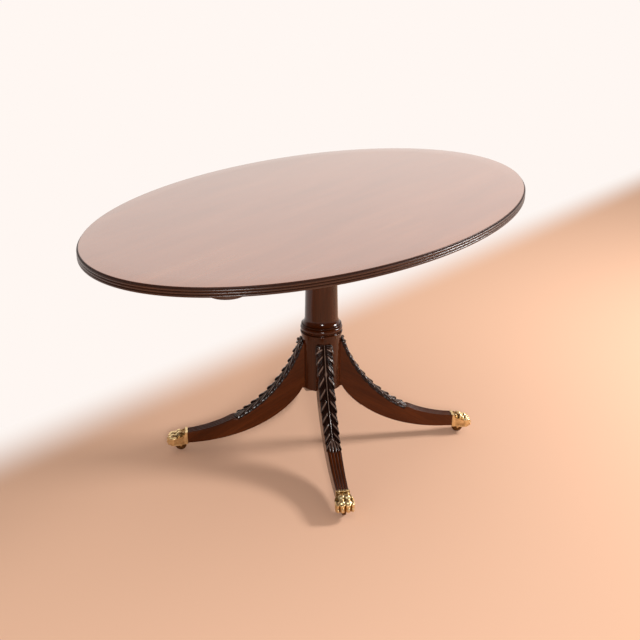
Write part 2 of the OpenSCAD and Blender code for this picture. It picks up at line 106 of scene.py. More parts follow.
def make_piece(name, sheets, material, replaced=()):
    """One object from closed surfaces. It rides on the fixed body, is smooth but for edges
    sharper than SHARP, and stands for the CAD nodes that are named."""
    counts = np.cumsum([0] + [len(s["points"]) for s in sheets])
    points = np.concatenate([s["points"] for s in sheets])
    faces = np.concatenate([s["faces"] + start for s, start in zip(sheets, counts)])
    mesh = bpy.data.meshes.new(name)
    mesh.from_pydata(points.tolist(), [], faces.tolist())
    for label, kind, field in (("grain", "FLOAT_VECTOR", "vector"), ("painted_shade", "FLOAT", "value")):
        values = np.concatenate([s[label] for s in sheets]).astype(np.float32)
        mesh.attributes.new(label, kind, "POINT").data.foreach_set(field, values.ravel())
    welded = bmesh.new()
    welded.from_mesh(mesh)
    bmesh.ops.remove_doubles(welded, verts=welded.verts, dist=2e-6)
    welded.to_mesh(mesh)
    welded.free()
    mesh.shade_smooth()
    mesh.set_sharp_from_angle(angle=SHARP)
    mesh.materials.append(material)
    piece = bpy.data.objects.new(name, mesh)
    bpy.context.scene.collection.objects.link(piece)
    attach(piece, "root")
    if replaced:
        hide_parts(*replaced)
    print(f"{name}: {len(sheets)} surfaces, {len(mesh.polygons)} faces")
    return piece


# %% [markdown]
# ## Nodes that say where a pattern lies
#
# Every finish here is a net of shader nodes, because a net has no pixels: it stays sharp at any
# distance and needs no picture. The same few steps come back in each net, so each step is one
# function. All of them give a socket, so that one call can stand inside another.


# %% Place and noise
def attribute(tree, name, output):
    """A value that the mesh keeps with its points."""
    node = tree.nodes.new("ShaderNodeAttribute")
    node.attribute_name = name
    return node.outputs[output]


def stretched_noise(tree, coords, lengths, detail, roughness=0.55):
    """Noise whose blotches have the given lengths in metres along each axis of the grain."""
    mapping = tree.nodes.new("ShaderNodeMapping")
    mapping.inputs["Scale"].default_value = [1 / length for length in lengths]
    noise = tree.nodes.new("ShaderNodeTexNoise")
    noise.inputs["Scale"].default_value = 1.0
    noise.inputs["Detail"].default_value = detail
    noise.inputs["Roughness"].default_value = roughness
    tree.links.new(coords, mapping.inputs["Vector"])
    tree.links.new(mapping.outputs["Vector"], noise.inputs["Vector"])
    return noise.outputs["Fac"]


# %% [markdown]
# ## Nodes for colours and numbers
#
# A ramp gives each value a colour, and one colour darkens another when the two are multiplied.
# Gloss and wear are plain numbers, which arithmetic brings into the range that a socket needs.
# Each wood could be its own net made by hand, but then a change would have to be made six times.


# %% Colours and numbers
def ramp(tree, value, stops):
    """The colour that a value has on a ramp with the given (place, colour) stops."""
    node = tree.nodes.new("ShaderNodeValToRGB")
    elements = node.color_ramp.elements
    while len(elements) < len(stops):
        elements.new(0.5)
    for element, (place, colour) in zip(elements, stops):
        element.position = place
        element.color = (*colour, 1.0)
    tree.links.new(value, node.inputs["Fac"])
    return node.outputs["Color"]


def multiplied(tree, amount, first, second):
    """The first colour times the second, as far as amount says."""
    node = tree.nodes.new("ShaderNodeMix")
    node.data_type = "RGBA"
    node.blend_type = "MULTIPLY"
    node.inputs["Factor"].default_value = amount
    colour_inputs = [i for i in node.inputs if i.name in "AB" and i.type == "RGBA"]
    for colour, socket in zip((first, second), colour_inputs):
        tree.links.new(colour, socket)
    return next(o for o in node.outputs if o.type == "RGBA")


def maths(tree, operation, *values):
    """One step of arithmetic on values, each a number or a socket."""
    node = tree.nodes.new("ShaderNodeMath")
    node.operation = operation
    for socket, value in zip(node.inputs, values):
        if isinstance(value, float):
            socket.default_value = value
        else:
            tree.links.new(value, socket)
    return node.outputs["Value"]


def ranged(tree, value, low, high, start=0.0, end=1.0, kind="LINEAR"):
    """A value brought from the range start to end into the range low to high."""
    node = tree.nodes.new("ShaderNodeMapRange")
    node.interpolation_type = kind
    numbers = (("From Min", start), ("From Max", end), ("To Min", low), ("To Max", high))
    for socket, number in numbers:
        node.inputs[socket].default_value = number
    tree.links.new(value, node.inputs["Value"])
    return node.outputs["Result"]


# %% [markdown]
# ## Polished mahogany
#
# Mahogany shows fine dark pores, long streaks and a broad cloudy figure. All three are noise
# that is stretched along the grain by a Mapping node. The pieces differ only in their tones, in
# the light and shade that is painted into them and in which direction their grain runs, so one
# function makes every wood. The grain attribute gives that direction: its first number always
# runs along the fibres.

# %% Wood
OLD_POLISH = 0.30
CREST_LIGHT_END = 0.25


# Painted shade: by default the hollows are darkened to about a quarter of their colour.
def wood(name, dark, middle, light, roughness, ior, coat, pore_depth, streaky=0.8,
         darker_tone=None, shade_tone=(0.28, 0.24, 0.22)):
    """Polished wood: a broad figure and long streaks choose among three tones, dark pores are
    laid over them, and the same pores dent the surface. Where the painted shade attribute rises
    to 1, shade is painted into the colour: the wood is darkened towards the last tone, its
    specular level falls, its clear coat fades out and it is duller by OLD_POLISH. On a carving
    the three tones are painted highlights on the crests, and the darker tone is the painted shade
    a little below them."""
    material = bpy.data.materials.new(name)
    material.use_nodes = True
    tree = material.node_tree
    shader = tree.nodes["Principled BSDF"]
    grain = attribute(tree, "grain", "Vector")
    figure = stretched_noise(tree, grain, (0.42, 0.055, 0.055), 3)
    streaks = stretched_noise(tree, grain, (0.16, 0.0045, 0.0045), 4)
    pores = stretched_noise(tree, grain, (0.012, 0.0007, 0.0007), 2)
    tones = ramp(tree, figure, [(0.30, dark), (0.52, middle), (0.74, light)])
    streak_tones = ramp(tree, streaks, [(0.30, (0.72,) * 3), (0.62, (1.12,) * 3)])
    pore_tones = ramp(tree, pores, [(0.34, (0.62,) * 3), (0.46, (1.0,) * 3)])
    streaked = multiplied(tree, streaky, tones, streak_tones)
    unshaded = multiplied(tree, 0.45, streaked, pore_tones)

    # Painted shade: the colour is darkened where the attribute is high, in grooves, hollows and the
    # carving's drops; where it is low, a carving keeps its painted crest highlights.
    shade_amount = attribute(tree, "painted_shade", "Fac")
    stops = [(0.0, (1.0,) * 3)] + ([(CREST_LIGHT_END, darker_tone)] if darker_tone else []) + [(1.0, shade_tone)]
    with_painted_shade = multiplied(tree, 1.0, unshaded, ramp(tree, shade_amount, stops))
    tree.links.new(with_painted_shade, shader.inputs["Base Color"])
    gloss = ranged(tree, streaks, roughness * 0.85, roughness * 1.2)
    duller = maths(tree, "MULTIPLY_ADD", shade_amount, OLD_POLISH, gloss)
    tree.links.new(duller, shader.inputs["Roughness"])
    tree.links.new(ranged(tree, shade_amount, 0.5, 0.08), shader.inputs["Specular IOR Level"])
    if coat:
        tree.links.new(ranged(tree, shade_amount, coat, 0.0), shader.inputs["Coat Weight"])

    bump = tree.nodes.new("ShaderNodeBump")
    bump.inputs["Strength"].default_value = 0.25
    bump.inputs["Distance"].default_value = pore_depth
    tree.links.new(pores, bump.inputs["Height"])
    tree.links.new(bump.outputs["Normal"], shader.inputs["Normal"])
    shader.inputs["IOR"].default_value = ior
    shader.inputs["Coat Roughness"].default_value = 0.09
    shader.inputs["Coat IOR"].default_value = 1.55
    return material


# %% [markdown]
# ## Six woods
#
# On the real table nearly all the wood is one kind, but it doesn't look so. The top's tones are
# painted lighter than the rest, as painted light for the bright room that its polish mirrors, and
# it is glossier; the edge and the turnings are darkest, and the carving's crests are painted bright
# as highlights. One wood with one colour would lose this, so each group of pieces has its own
# tones and gloss. The rails under the top are a plainer wood without much polish.

# %% Six woods
# Painted light: the top's tones are about five times lighter than the legs', for the bright room that
# its polish mirrors. Its last tone paints shade on the shoulder, the step and the underside.
TOP_WOOD = wood("mahogany_top", (0.350, 0.108, 0.047), (0.400, 0.128, 0.058),
                (0.450, 0.154, 0.072), roughness=0.12, ior=1.9, coat=1.0, pore_depth=0.00003,
                streaky=0.42, shade_tone=(0.085, 0.080, 0.090))
EDGE_WOOD = wood("mahogany_edge", (0.034, 0.0105, 0.0045), (0.052, 0.0165, 0.0070),
                 (0.074, 0.0240, 0.0100), roughness=0.27, ior=1.50, coat=0.0, pore_depth=0.0)
TURNED_WOOD = wood("mahogany_turned", (0.031, 0.0058, 0.0008), (0.049, 0.0100, 0.0016),
                   (0.073, 0.0165, 0.0032), roughness=0.13, ior=1.39, coat=0.0, pore_depth=0.00002)
LEG_WOOD = wood("mahogany", (0.045, 0.0085, 0.0010), (0.069, 0.0140, 0.0019),
                (0.100, 0.0222, 0.0038), roughness=0.22, ior=1.30, coat=0.0, pore_depth=0.00003)
# Painted highlights: these light tones are the carving's crests. The darker tone and the last tone
# paint shade a little below the crests and near black in the drops.
CARVED_WOOD = wood("mahogany_carved", (0.110, 0.070, 0.053), (0.160, 0.103, 0.079),
                   (0.230, 0.152, 0.118), roughness=0.13, ior=1.50, coat=0.0, pore_depth=0.00001,
                   darker_tone=(0.14, 0.062, 0.036), shade_tone=(0.045, 0.020, 0.013))
UNDER_WOOD = wood("dark_wood", (0.030, 0.010, 0.005), (0.048, 0.016, 0.008),
                  (0.070, 0.026, 0.013), roughness=0.5, ior=1.45, coat=0.1, pore_depth=0.0001)
print("woods:", ", ".join(m.name for m in (TOP_WOOD, EDGE_WOOD, TURNED_WOOD, LEG_WOOD,
                                           CARVED_WOOD, UNDER_WOOD)))


# %% [markdown]
# ## Brass, iron and steel
#
# Cast brass is bright on its raised parts and brown in its hollows, its clefts and low on its
# walls, which is painted shade together with tarnish. The painted shade attribute says where
# that is, and a little noise breaks up its edge. The iron plate and the steel fittings are
# hidden under the table, so they are duller.

# %% Metals
CLOUD = 0.012


def metal(name, bright, darker_tone, roughness, reads_shade=True):
    """Metal whose colour goes from bright to the darker tone with the painted shade attribute,
    which paints shade into hollows, and with some noise; when it doesn't read the attribute, a
    small fixed amount stands in. The noise lies in the Object coordinates, as a casting has no
    grain."""
    material = bpy.data.materials.new(name)
    material.use_nodes = True
    tree = material.node_tree
    shader = tree.nodes["Principled BSDF"]
    place = tree.nodes.new("ShaderNodeTexCoord").outputs["Object"]
    cloud = stretched_noise(tree, place, (CLOUD,) * 3, 5, 0.65)
    shade_amount = attribute(tree, "painted_shade", "Fac") if reads_shade else 0.1
    amount = maths(tree, "MULTIPLY_ADD", cloud, 0.9, shade_amount)
    tones = ramp(tree, amount, [(0.45, bright), (1.15, darker_tone)])
    tree.links.new(tones, shader.inputs["Base Color"])
    gloss = ranged(tree, cloud, roughness * 0.8, roughness * 1.6)
    tree.links.new(gloss, shader.inputs["Roughness"])
    shader.inputs["Metallic"].default_value = 1.0
    return material


# Painted shade with tarnish: the paws' brass turns brown where the painted shade is high.
BRASS = metal("brass", (0.92, 0.70, 0.37), (0.30, 0.16, 0.05), roughness=0.32)
BRASS_PLAIN = metal("brass_plain", (0.85, 0.60, 0.28), (0.30, 0.18, 0.07), 0.24, reads_shade=False)
IRON = metal("iron", (0.20, 0.19, 0.18), (0.07, 0.05, 0.04), 0.5, reads_shade=False)
# Painted shade: a shaded copy of the brass, dark all over, for the castors in the shade under the
# paws.
BRASS_SHADED = metal("brass_shaded", (0.17, 0.080, 0.026), (0.06, 0.030, 0.012), 0.36, reads_shade=False)
STEEL = metal("steel", (0.56, 0.55, 0.53), (0.25, 0.23, 0.20), 0.32, reads_shade=False)
print("metals:", ", ".join(m.name for m in (BRASS, BRASS_PLAIN, BRASS_SHADED, IRON, STEEL)))

# %% [markdown]
# ## The oval top
#
# The top is an oval panel with a lipping round it, and one polished face runs over both to the
# edge. An outline moved inwards keeps the lipping's width even, which a scaled oval wouldn't, so
# each point is moved along the rim's own square direction. The sizes come from the packed
# lipping's box.

# %% Oval outline
lip_low, lip_high = (np.array(corner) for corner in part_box("reeded_lipping"))
HALF_LEN, HALF_WID = lip_high[:2]
TOP_Z, PANEL_Z = lip_high[2], lip_low[2]
LIP_W = 0.016
QUIRK_H = 0.00375
SHOULDER_R = 0.0025
RIM_REEDS = 3
REED_R = (TOP_Z - PANEL_Z - QUIRK_H) / (2 * RIM_REEDS)
RIM_TURN = np.linspace(0, 2 * np.pi, 360, endpoint=False)


def rim(inset):
    """Points round the oval, moved inwards by inset along the direction square to the rim."""
    x, y = HALF_LEN * np.cos(RIM_TURN), HALF_WID * np.sin(RIM_TURN)
    out = np.stack([HALF_WID * np.cos(RIM_TURN), HALF_LEN * np.sin(RIM_TURN)], axis=-1)
    out /= np.linalg.norm(out, axis=1, keepdims=True)
    return np.stack([x, y], axis=-1) - inset * out


def rings(section):
    """Rings of (scale, inset, height): the rim at each inset, shrunk towards the middle."""
    return np.stack([
        np.concatenate([scale * rim(inset), np.full((len(RIM_TURN), 1), height)], axis=1)
        for scale, inset, height in section])


print(f"oval of {2000 * HALF_LEN:.0f} by {2000 * HALF_WID:.0f} mm, "
      f"reeds of {2000 * REED_R:.1f} mm")


# %% [markdown]
# ## Panel
#
# The panel's section runs from the middle of the face to a rounded shoulder, down the small step
# over the first reed, and back underneath. It could be a flat disc with a bevel, but then the
# shoulder's light would break at each corner. Here the rounding is part of the section, and the
# section is carried round the oval. Shade is painted on the shoulder, the step and the underside.

# %% Table top
face = [(k / 12, REED_R + SHOULDER_R, TOP_Z) for k in range(13)]
round_over = [(1, REED_R + SHOULDER_R * (1 - np.sin(a)), TOP_Z - SHOULDER_R * (1 - np.cos(a)))
              for a in np.radians(np.linspace(0, 90, 9)[1:])]
underside = [(1, REED_R, TOP_Z - QUIRK_H), (1, LIP_W, TOP_Z - QUIRK_H), (1, LIP_W, PANEL_Z)]
underside += [(k / 6, LIP_W, PANEL_Z) for k in range(5, -1, -1)]
# Painted shade: dark on the shoulder and the step, and three quarters on the underside.
shade_amount = np.concatenate([np.zeros(len(face)), np.linspace(0.3, 2, len(round_over)).clip(0, 1),
                          [1, 1], np.full(len(underside) - 2, 0.75)])[:, None]
make_piece("oval_top", [sheet(rings(face + round_over + underside), painted_shade=shade_amount)], TOP_WOOD,
           ["top_panel"])


# %% [markdown]
# ## Reeded edge
#
# The edge is a lipping with three half-round reeds under the step, cut with one cutter all the
# way round. A height map would show no outline, so the reeds are real half circles, joined to one
# section that is carried round the oval. The grain follows the rim, as on a bent lipping, and
# shade is painted into the grooves between the reeds.

# %% Reeds
reeds = [(1, LIP_W, TOP_Z - QUIRK_H)]
reed_turn = np.radians(np.linspace(90, -90, 13))
for k in range(RIM_REEDS):
    centre = TOP_Z - QUIRK_H - (2 * k + 1) * REED_R
    reeds += [(1, REED_R * (1 - np.cos(a)), centre + REED_R * np.sin(a)) for a in reed_turn]
reeds += [(1, LIP_W, PANEL_Z)]
# Painted shade: darkest in the grooves between the reeds, full under the step and half on the flat
# underneath.
groove = np.concatenate([[1]] + RIM_REEDS * [np.abs(np.sin(reed_turn)) ** 6] + [[0.5]])[:, None]
edge = rings(reeds)
length = np.cumsum(np.linalg.norm(edge[0] - np.roll(edge[0], 1, axis=0), axis=1))
edge_grain = np.stack([length + 0 * edge[..., 0],
                       np.array([r[1] for r in reeds])[:, None] + 0 * edge[..., 0],
                       edge[..., 2]], axis=-1)
edge_sheet = sheet(edge, wrap_rows=True, grain=edge_grain, painted_shade=groove)
make_piece("reeded_edge", [edge_sheet], EDGE_WOOD, ["reeded_lipping"])

# %% [markdown]
# ## Turned shapes
#
# A turner holds a cutter against a block that spins, so a turned piece is one profile carried
# round the upright axis. A modifier could spin it, but a grid gives the same points on each run,
# and the profile closes down the bore, so it needs no caps. Profiles are made of straight lines,
# arcs and curves with two pulls.

# %% Turned shapes
TURN = np.linspace(0, 2 * np.pi, 144, endpoint=False)


def turned(profile, painted_shade=0.0):
    """A closed profile of (radius, height) points, carried round the upright axis: a point's x
    and y are its radius times the cosine and the sine of the turn. The painted shade is given for
    each point of the profile."""
    radius, height = np.asarray(profile, float).T
    x = radius[:, None] * np.cos(TURN)
    y = radius[:, None] * np.sin(TURN)
    z = height[:, None] + 0 * x
    return sheet(np.stack([x, y, z], axis=-1), wrap_rows=True, painted_shade=painted_shade)


def arc(centre, radius, start, end, steps=14):
    """Points of a circle from one angle to another, in degrees, in the plane of a profile."""
    angle = np.radians(np.linspace(start, end, steps))
    return [(centre[0] + radius * np.cos(a), centre[1] + radius * np.sin(a)) for a in angle]


def bend(pulls, steps):
    """Points of a curve with four control points, spaced evenly in its own parameter: the sum
    of the points, weighted with the terms of the cube of (1 - t) + t."""
    p = np.asarray(pulls, float)
    t = np.linspace(0, 1, steps)[:, None]
    u = 1 - t
    return u**3 * p[0] + 3 * u**2 * t * p[1] + 3 * u * t**2 * p[2] + t**3 * p[3]


print("points round a turned piece:", len(TURN))

# %% [markdown]
# ## Column
#
# The column is turned from one block, so its grain runs up and down. Its profile is written from
# the drum upwards: a groove, a half-round ring, a fine notch under a bead, a hollow sweep, the
# tapering shaft and the plain cap under the block. Separate rings and shafts would show seams, so
# one line holds them all. Shade is painted into the grooves, by a bell curve over the height of
# each.

# %% Turned column
DRUM_TOP = 0.3585
BLOCK_Z = 0.658
GROOVE_R = 0.055
BORE = 0.0065
GROOVES_Z, GROOVE_SPREAD = (0.3600, 0.3788, 0.3830), 0.0011


def upright_grain(made):
    """Turns a surface's grain so that the fibres run up and down."""
    made["grain"] = made["grain"][:, [2, 0, 1]]
    return made


RING_MIDDLE, RING_HALF = (0.0525, 0.370), 0.0083
ring_start = float(np.degrees(np.arccos((GROOVE_R - RING_MIDDLE[0]) / RING_HALF)))
column_profile = [(BORE, DRUM_TOP), (GROOVE_R, DRUM_TOP)]
column_profile += arc(RING_MIDDLE, RING_HALF, -ring_start, ring_start, 25)
column_profile += [(GROOVE_R, 0.3790), (0.0568, 0.3790)] + arc((0.0566, 0.3807), 0.0016, -70, 50, 7)
column_profile += [tuple(p) for p in bend(
    [(0.0570, 0.3825), (0.0545, 0.3845), (0.0493, 0.3885), (0.048, 0.4005)], 20)]
column_profile += [(0.0471, 0.44), (0.0460, 0.49), (0.0449, 0.54)]
column_profile += [tuple(p) for p in bend(
    [(0.0435, 0.624), (0.0435, 0.641), (0.052, 0.6444), (0.0585, 0.6478)], 14)]
column_profile += arc((0.0605, 0.6511), 0.0015, -90, 0, 5) + [(0.062, 0.656)]
column_profile += arc((0.0605, 0.6565), 0.0015, 0, 90, 5) + [(BORE, BLOCK_Z)]
heights = np.array(column_profile)[:, 1:]
# Painted shade: a bell curve darkens each groove of the column.
grooves = np.max([np.exp(-((heights - z) / GROOVE_SPREAD) ** 2) for z in GROOVES_Z], axis=0)
make_piece("turned_column", [upright_grain(turned(column_profile, grooves))], TURNED_WOOD,
           ["column"])


# %% [markdown]
# ## Drum
#
# The drum is the same kind of turning. It is straight up to its collar, which flares out under
# the column's ring, so that the collar catches the light of the floor. The lower edge is slightly
# rounded, because a sharp edge would catch no light at all. The legs cover most of it.

# %% Turned drum
DRUM_R, COLLAR_R, DRUM_LOW, COLLAR_LOW = 0.0575, 0.061, 0.187, 0.3385
drum_profile = [(BORE, DRUM_LOW)] + arc((DRUM_R - 0.002, DRUM_LOW + 0.002), 0.002, -90, 0, 7)
drum_profile += [(DRUM_R, COLLAR_LOW)]
drum_profile += [tuple(p) for p in bend([(0.0576, 0.3395), (0.0578, 0.344), (0.0594, 0.350),
                                         (0.0608, 0.3566)], 9)]
drum_profile += arc((COLLAR_R - 0.0010, DRUM_TOP - 0.0010), 0.0010, 0, 90, 6)
drum_profile += [(BORE, DRUM_TOP)]
make_piece("turned_drum", [upright_grain(turned(drum_profile))], TURNED_WOOD, ["drum"])

# %% [markdown]
# ## The leg's curves
#
# A leg is sawn from a board, so it has one side view: an upper and a lower curve. The same four
# control points as in the construction give each curve. A place on the upper face is then given
# by three numbers: how far along the curve it is, how far to the side, and how high over it.

# %% Leg curves
LEG_REACH = 0.399
UPPER = [(0.066, 0.332), (0.095, 0.229), (0.202, 0.079), (LEG_REACH, 0.061)]
LOWER = [(0.0595, 0.187), (0.064, 0.170), (0.155, 0.030), (LEG_REACH, 0.027)]
ROOT_W, TOE_W = 0.046, 0.033
CORNERS = {"front_left": 225, "front_right": 315, "back_left": 135, "back_right": 45}

upper_line = bend(UPPER, 400)
upper_way = np.gradient(upper_line, axis=0)
upper_way /= np.linalg.norm(upper_way, axis=1, keepdims=True)
upper_s = np.concatenate([[0], np.cumsum(np.linalg.norm(np.diff(upper_line, axis=0), axis=1))])
HEAD = 0.012
leaf_s = np.concatenate([[-HEAD], upper_s])
leaf_line = np.concatenate([upper_line[:1] - HEAD * upper_way[:1], upper_line])
leaf_way = np.concatenate([upper_way[:1], upper_way])
print(f"upper face of a leg: {upper_s[-1] * 1000:.0f} mm along its curve")


def half_width(reach):
    """Half the leg's width, which falls evenly from the drum to the toe."""
    share = np.clip((reach - DRUM_R) / (LEG_REACH - DRUM_R), 0, 1)
    return (ROOT_W + (TOE_W - ROOT_W) * share) / 2


def on_leg(s, y, h):
    """A place on the leg: s along the upper curve, y to the side, h square to the curve. The
    curve goes straight on for a little over its top end, where the leaf's head is."""
    s, y, h = np.broadcast_arrays(s, y, h)
    x, z = (np.interp(s, leaf_s, leaf_line[:, k]) for k in (0, 1))
    way_x, way_z = (np.interp(s, leaf_s, leaf_way[:, k]) for k in (0, 1))
    return np.stack([x - way_z * h, y, z + way_x * h], axis=-1)


def at_corner(points, corner):
    """Turns what is drawn along the X axis to one leg's direction."""
    turn = np.radians(CORNERS[corner])
    x, y = points[..., 0], points[..., 1]
    return np.stack([x * np.cos(turn) - y * np.sin(turn), x * np.sin(turn) + y * np.cos(turn),
                     points[..., 2]], axis=-1)


def leg_grain(points, corner):
    """Grain of a leg's board: it runs straight from the drum to the toe, 32 degrees downwards,
    and each leg is cut from another place of the board."""
    slope = np.radians(-32)
    along = points[..., 0] * np.cos(slope) + points[..., 2] * np.sin(slope)
    over = -points[..., 0] * np.sin(slope) + points[..., 2] * np.cos(slope)
    return np.stack([along + CORNERS[corner] / 100, points[..., 1], over], axis=-1)


# %% [markdown]
# ## Section of a leg
#
# A leg's section is a box with rounded edges, whose upper face is worked into four reeds, each a
# half-oval across the leg, with a sharp groove between. The section is written once, by shares of
# the leg's width and height, and so fits each place along the leg. A bevel modifier could round
# the edges, but it would bend the reeds' ends as well.

# %% Section of a leg
EDGE = 0.0018
LEG_REEDS = 4


def leg_section():
    """The section, once round from the bottom's left edge, as rows of four numbers: a share of
    the half width and a fixed part across, a share of the height and a fixed part up. With it,
    how far below its reed's crest each point of the upper face lies, as a share of the reeds'
    depth, from 0 to -1."""
    turn = np.linspace(0, np.pi / 2, 6)
    v = np.concatenate([(2 * k + 1 - np.cos(np.linspace(0, np.pi, 15)[:-1])) / LEG_REEDS - 1
                        for k in range(LEG_REEDS)] + [[1.0]])
    f = np.linspace(0, 1, 7)[1:-1]
    bottom = [(c, -c * EDGE, 0, 0) for c in np.linspace(-1, 1, 5)]
    right_low = [(1, EDGE * (np.sin(a) - 1), 0, EDGE * (1 - np.cos(a))) for a in turn[1:]]
    right = [(1, 0, k, EDGE * (1 - 2 * k)) for k in f]
    right_high = [(1, EDGE * (np.cos(a) - 1), 1, EDGE * (np.sin(a) - 1)) for a in turn[:-1]]
    upper = [(-c, c * EDGE, 1, 0) for c in v]
    left_high = [(-a, -b, c, d) for a, b, c, d in right_high[::-1]]
    left = [(-a, -b, c, d) for a, b, c, d in right[::-1]]
    left_low = [(-a, -b, c, d) for a, b, c, d in right_low[::-1]]
    before = bottom + right_low + right + right_high
    section = np.array(before + upper + left_high + left + left_low[:-1])
    reed = np.zeros(len(section))
    first = len(before)
    place = (v + 1) / 2 * LEG_REEDS % 1
    reed[first:first + len(v)] = np.sqrt(np.clip(1 - (2 * place - 1) ** 2, 0, 1)) - 1
    return section, reed


leg_outline, leg_reeding = leg_section()
print("points round a leg:", len(leg_outline))

# %% [markdown]
# ## Leg body
#
# On the real leg the board is sawn, rounded and then carved. Under the leaf the upper face is cut
# down here, so that the leaf lies in the wood and not on it, and past the leaf the reeds start
# with a soft rise. The first two sections are hidden in the drum, where the leg is let in. It
# could be one curve with a bevel object, but such a tube can't change its section.

# %% Sawn and reeded legs
SINK = 0.0085
LEAF_END = 0.311
REED_DEPTH = 0.0030
STATIONS = 170
HIDDEN = [(0.050, 0.187, 0.322), (0.0565, 0.187, 0.3285)]


def smooth_step(x, start, end):
    """0 before start, 1 after end, and a soft rise between."""
    t = np.clip((x - start) / (end - start), 0, 1)
    return t * t * (3 - 2 * t)


def leg_body():
    """Closed surface of one leg along the X axis: at each station the section stands on the
    lower curve and is scaled to reach the upper one. It returns the points and the painted shade,
    which is darkest in the grooves between the reeds."""
    share = np.linspace(0, 1, STATIONS)
    low = bend(LOWER, STATIONS)
    s = np.interp(share, np.linspace(0, 1, 400), upper_s)
    sink = SINK * (1 - smooth_step(s, LEAF_END - 0.014, LEAF_END + 0.006))
    top = on_leg(s, 0, -sink)[:, [0, 2]]
    hidden = np.array(HIDDEN)
    low = np.concatenate([hidden[:, [0, 1]], low])
    top = np.concatenate([hidden[:, [0, 2]], top])
    s = np.concatenate([[0, 0], s])
    rise = top - low
    height = np.linalg.norm(rise, axis=1)
    rise /= height[:, None]
    half = half_width((top[:, 0] + low[:, 0]) / 2)
    depth = REED_DEPTH * smooth_step(s, LEAF_END - 0.012, LEAF_END + 0.004)
    across = leg_outline[:, 0] * half[:, None] + leg_outline[:, 1]
    up = leg_outline[:, 2] * height[:, None] + leg_outline[:, 3] + leg_reeding * depth[:, None]
    x = low[:, :1] + rise[:, :1] * up
    z = low[:, 1:] + rise[:, 1:] * up
    points = np.stack([x, across, z], axis=-1)
    ends = [np.broadcast_to(points[k].mean(axis=0), points[k].shape)[None] for k in (0, -1)]
    return np.concatenate([ends[0], points, ends[1]]), -leg_reeding


# Painted shade: darkest in the grooves between the reeds.
leg_points, leg_painted_shade = leg_body()
for corner in CORNERS:
    make_piece(f"sawn_leg_{corner}",
               [sheet(at_corner(leg_points, corner), grain=leg_grain(leg_points, corner),
                      painted_shade=leg_painted_shade)],
               LEG_WOOD, [f"leg_{corner}"])


# %% [markdown]
# ## Acanthus leaf
#
# The leaf is carved as overlapping leaflets on both sides of a thin rib, like a feather whose
# tips point to the toe. It could be a height map on a flat grid, but the leaflets' sharp drops
# would then turn into stairs. So the grid's own lines follow the leaflets: one parameter counts
# the leaflets down the leg, the other goes from the rib to the edge, and the lines sweep back
# like the barbs of a feather. A drop is two lines at one place and two heights.

# %% Plan of the leaf
TIPS = [-0.004, 0.023, 0.053, 0.087, 0.121, 0.155, 0.190, 0.224, 0.254, 0.281, 0.303]
SWEEP = [0.002, 0.018, 0.033, 0.038, 0.039, 0.039, 0.039, 0.038, 0.037, 0.036, 0.036]
TIP_BULGE, OVERHANG, HEAD_SPREAD = 0.0050, 0.0020, 0.0014


def leaf_plan(phi, psi, arch, side):
    """Where the leaf's points lie along and across the leg, as (s, y). Phi counts the leaflets
    along the edge, psi goes from 0 to 1 through one leaflet, arch is the roundness of its finger
    there, and side goes from -1 at one edge over the rib to 1. A line starts at the rib, SWEEP
    above its place at the edge, and runs outwards as the 0.75th power of its share of the width.
    Along the edge the fingers end in rounded tips, with notches between."""
    t = np.abs(side)
    leaflets = np.arange(len(TIPS))
    edge_s, sweep = np.interp(phi, leaflets, TIPS), np.interp(phi, leaflets, SWEEP)
    s = edge_s - sweep * (1 - t**0.75) + TIP_BULGE * (arch - 0.5) * smooth_step(t, 0.60, 1.0)
    s = np.maximum(s, -0.0075 + 0.0065 * (2 * t - 1) ** 2)
    wide = half_width(np.interp(s, leaf_s, leaf_line[:, 0])) + OVERHANG
    wide = wide + HEAD_SPREAD * (1 - smooth_step(s, 0.02, 0.10))
    notch = (0.07 * (1 - arch) + 0.10 * (1 - psi) ** 3) * smooth_step(t, 0.40, 1.0)
    return s, side * wide * (1 - notch)


print(f"leaflets on each side of the rib: {len(TIPS) - 1}")

# %% [markdown]
# ## Height of the leaf
#
# Seen along the leg, each leaflet climbs like a ramp and then drops to the next one. Three
# rounded fingers lie on it, the last the highest. Sculpting would give livelier leaves, but it
# would leave no numbers to change. The same terms also say where light and shade are painted:
# painted highlights on the crests and painted shade, near black, in the drops.

# %% Height of the leaf
ARCHES = [0.55, 0.8, 1.15]
LEAF_LOW, LEAFLET_RISE, FINGER_RISE, EDGE_RISE = -0.0066, 0.0036, 0.0032, 0.0006
RIB_DIP, EDGE_FALL = 0.0012, 0.0036


def leaf_height(psi, arch, side):
    """Height of the leaf's points, square to the leg's curve, and their painted shade. Each leaflet
    climbs from its upper line to its lower one and carries half-round fingers, and the leaf dips
    at the rib and falls off at the edge. The painted shade is 1 in the drops, and least on the
    crest of each last finger, where a painted highlight lies."""
    t = np.abs(side)
    out = smooth_step(t, 0.03, 0.35)
    h = LEAF_LOW + LEAFLET_RISE * psi**1.2 * (0.35 + 0.65 * out)
    h = h + FINGER_RISE * arch * out + EDGE_RISE * arch * smooth_step(t, 0.5, 0.85)
    h = h - RIB_DIP * (1 - smooth_step(t, 0.0, 0.16))
    h = h - EDGE_FALL * np.clip((t - 0.80) / 0.20, 0, 1) ** 2.2
    # Painted highlight on the crest of each last finger, and painted shade that deepens into the
    # drops.
    crest = np.exp(-((ARCHES[-1] - arch) / 0.07) ** 2) * smooth_step(t, 0.12, 0.30)
    shade = 1 - 0.75 * arch * out - 0.30 * crest * (1 - smooth_step(t, 0.75, 0.95))
    return h, shade.clip(0, 1)


print(f"a leaflet climbs {LEAFLET_RISE * 1000:.1f} mm, and its highest finger "
      f"{FINGER_RISE * ARCHES[-1] * 1000:.1f} mm more")


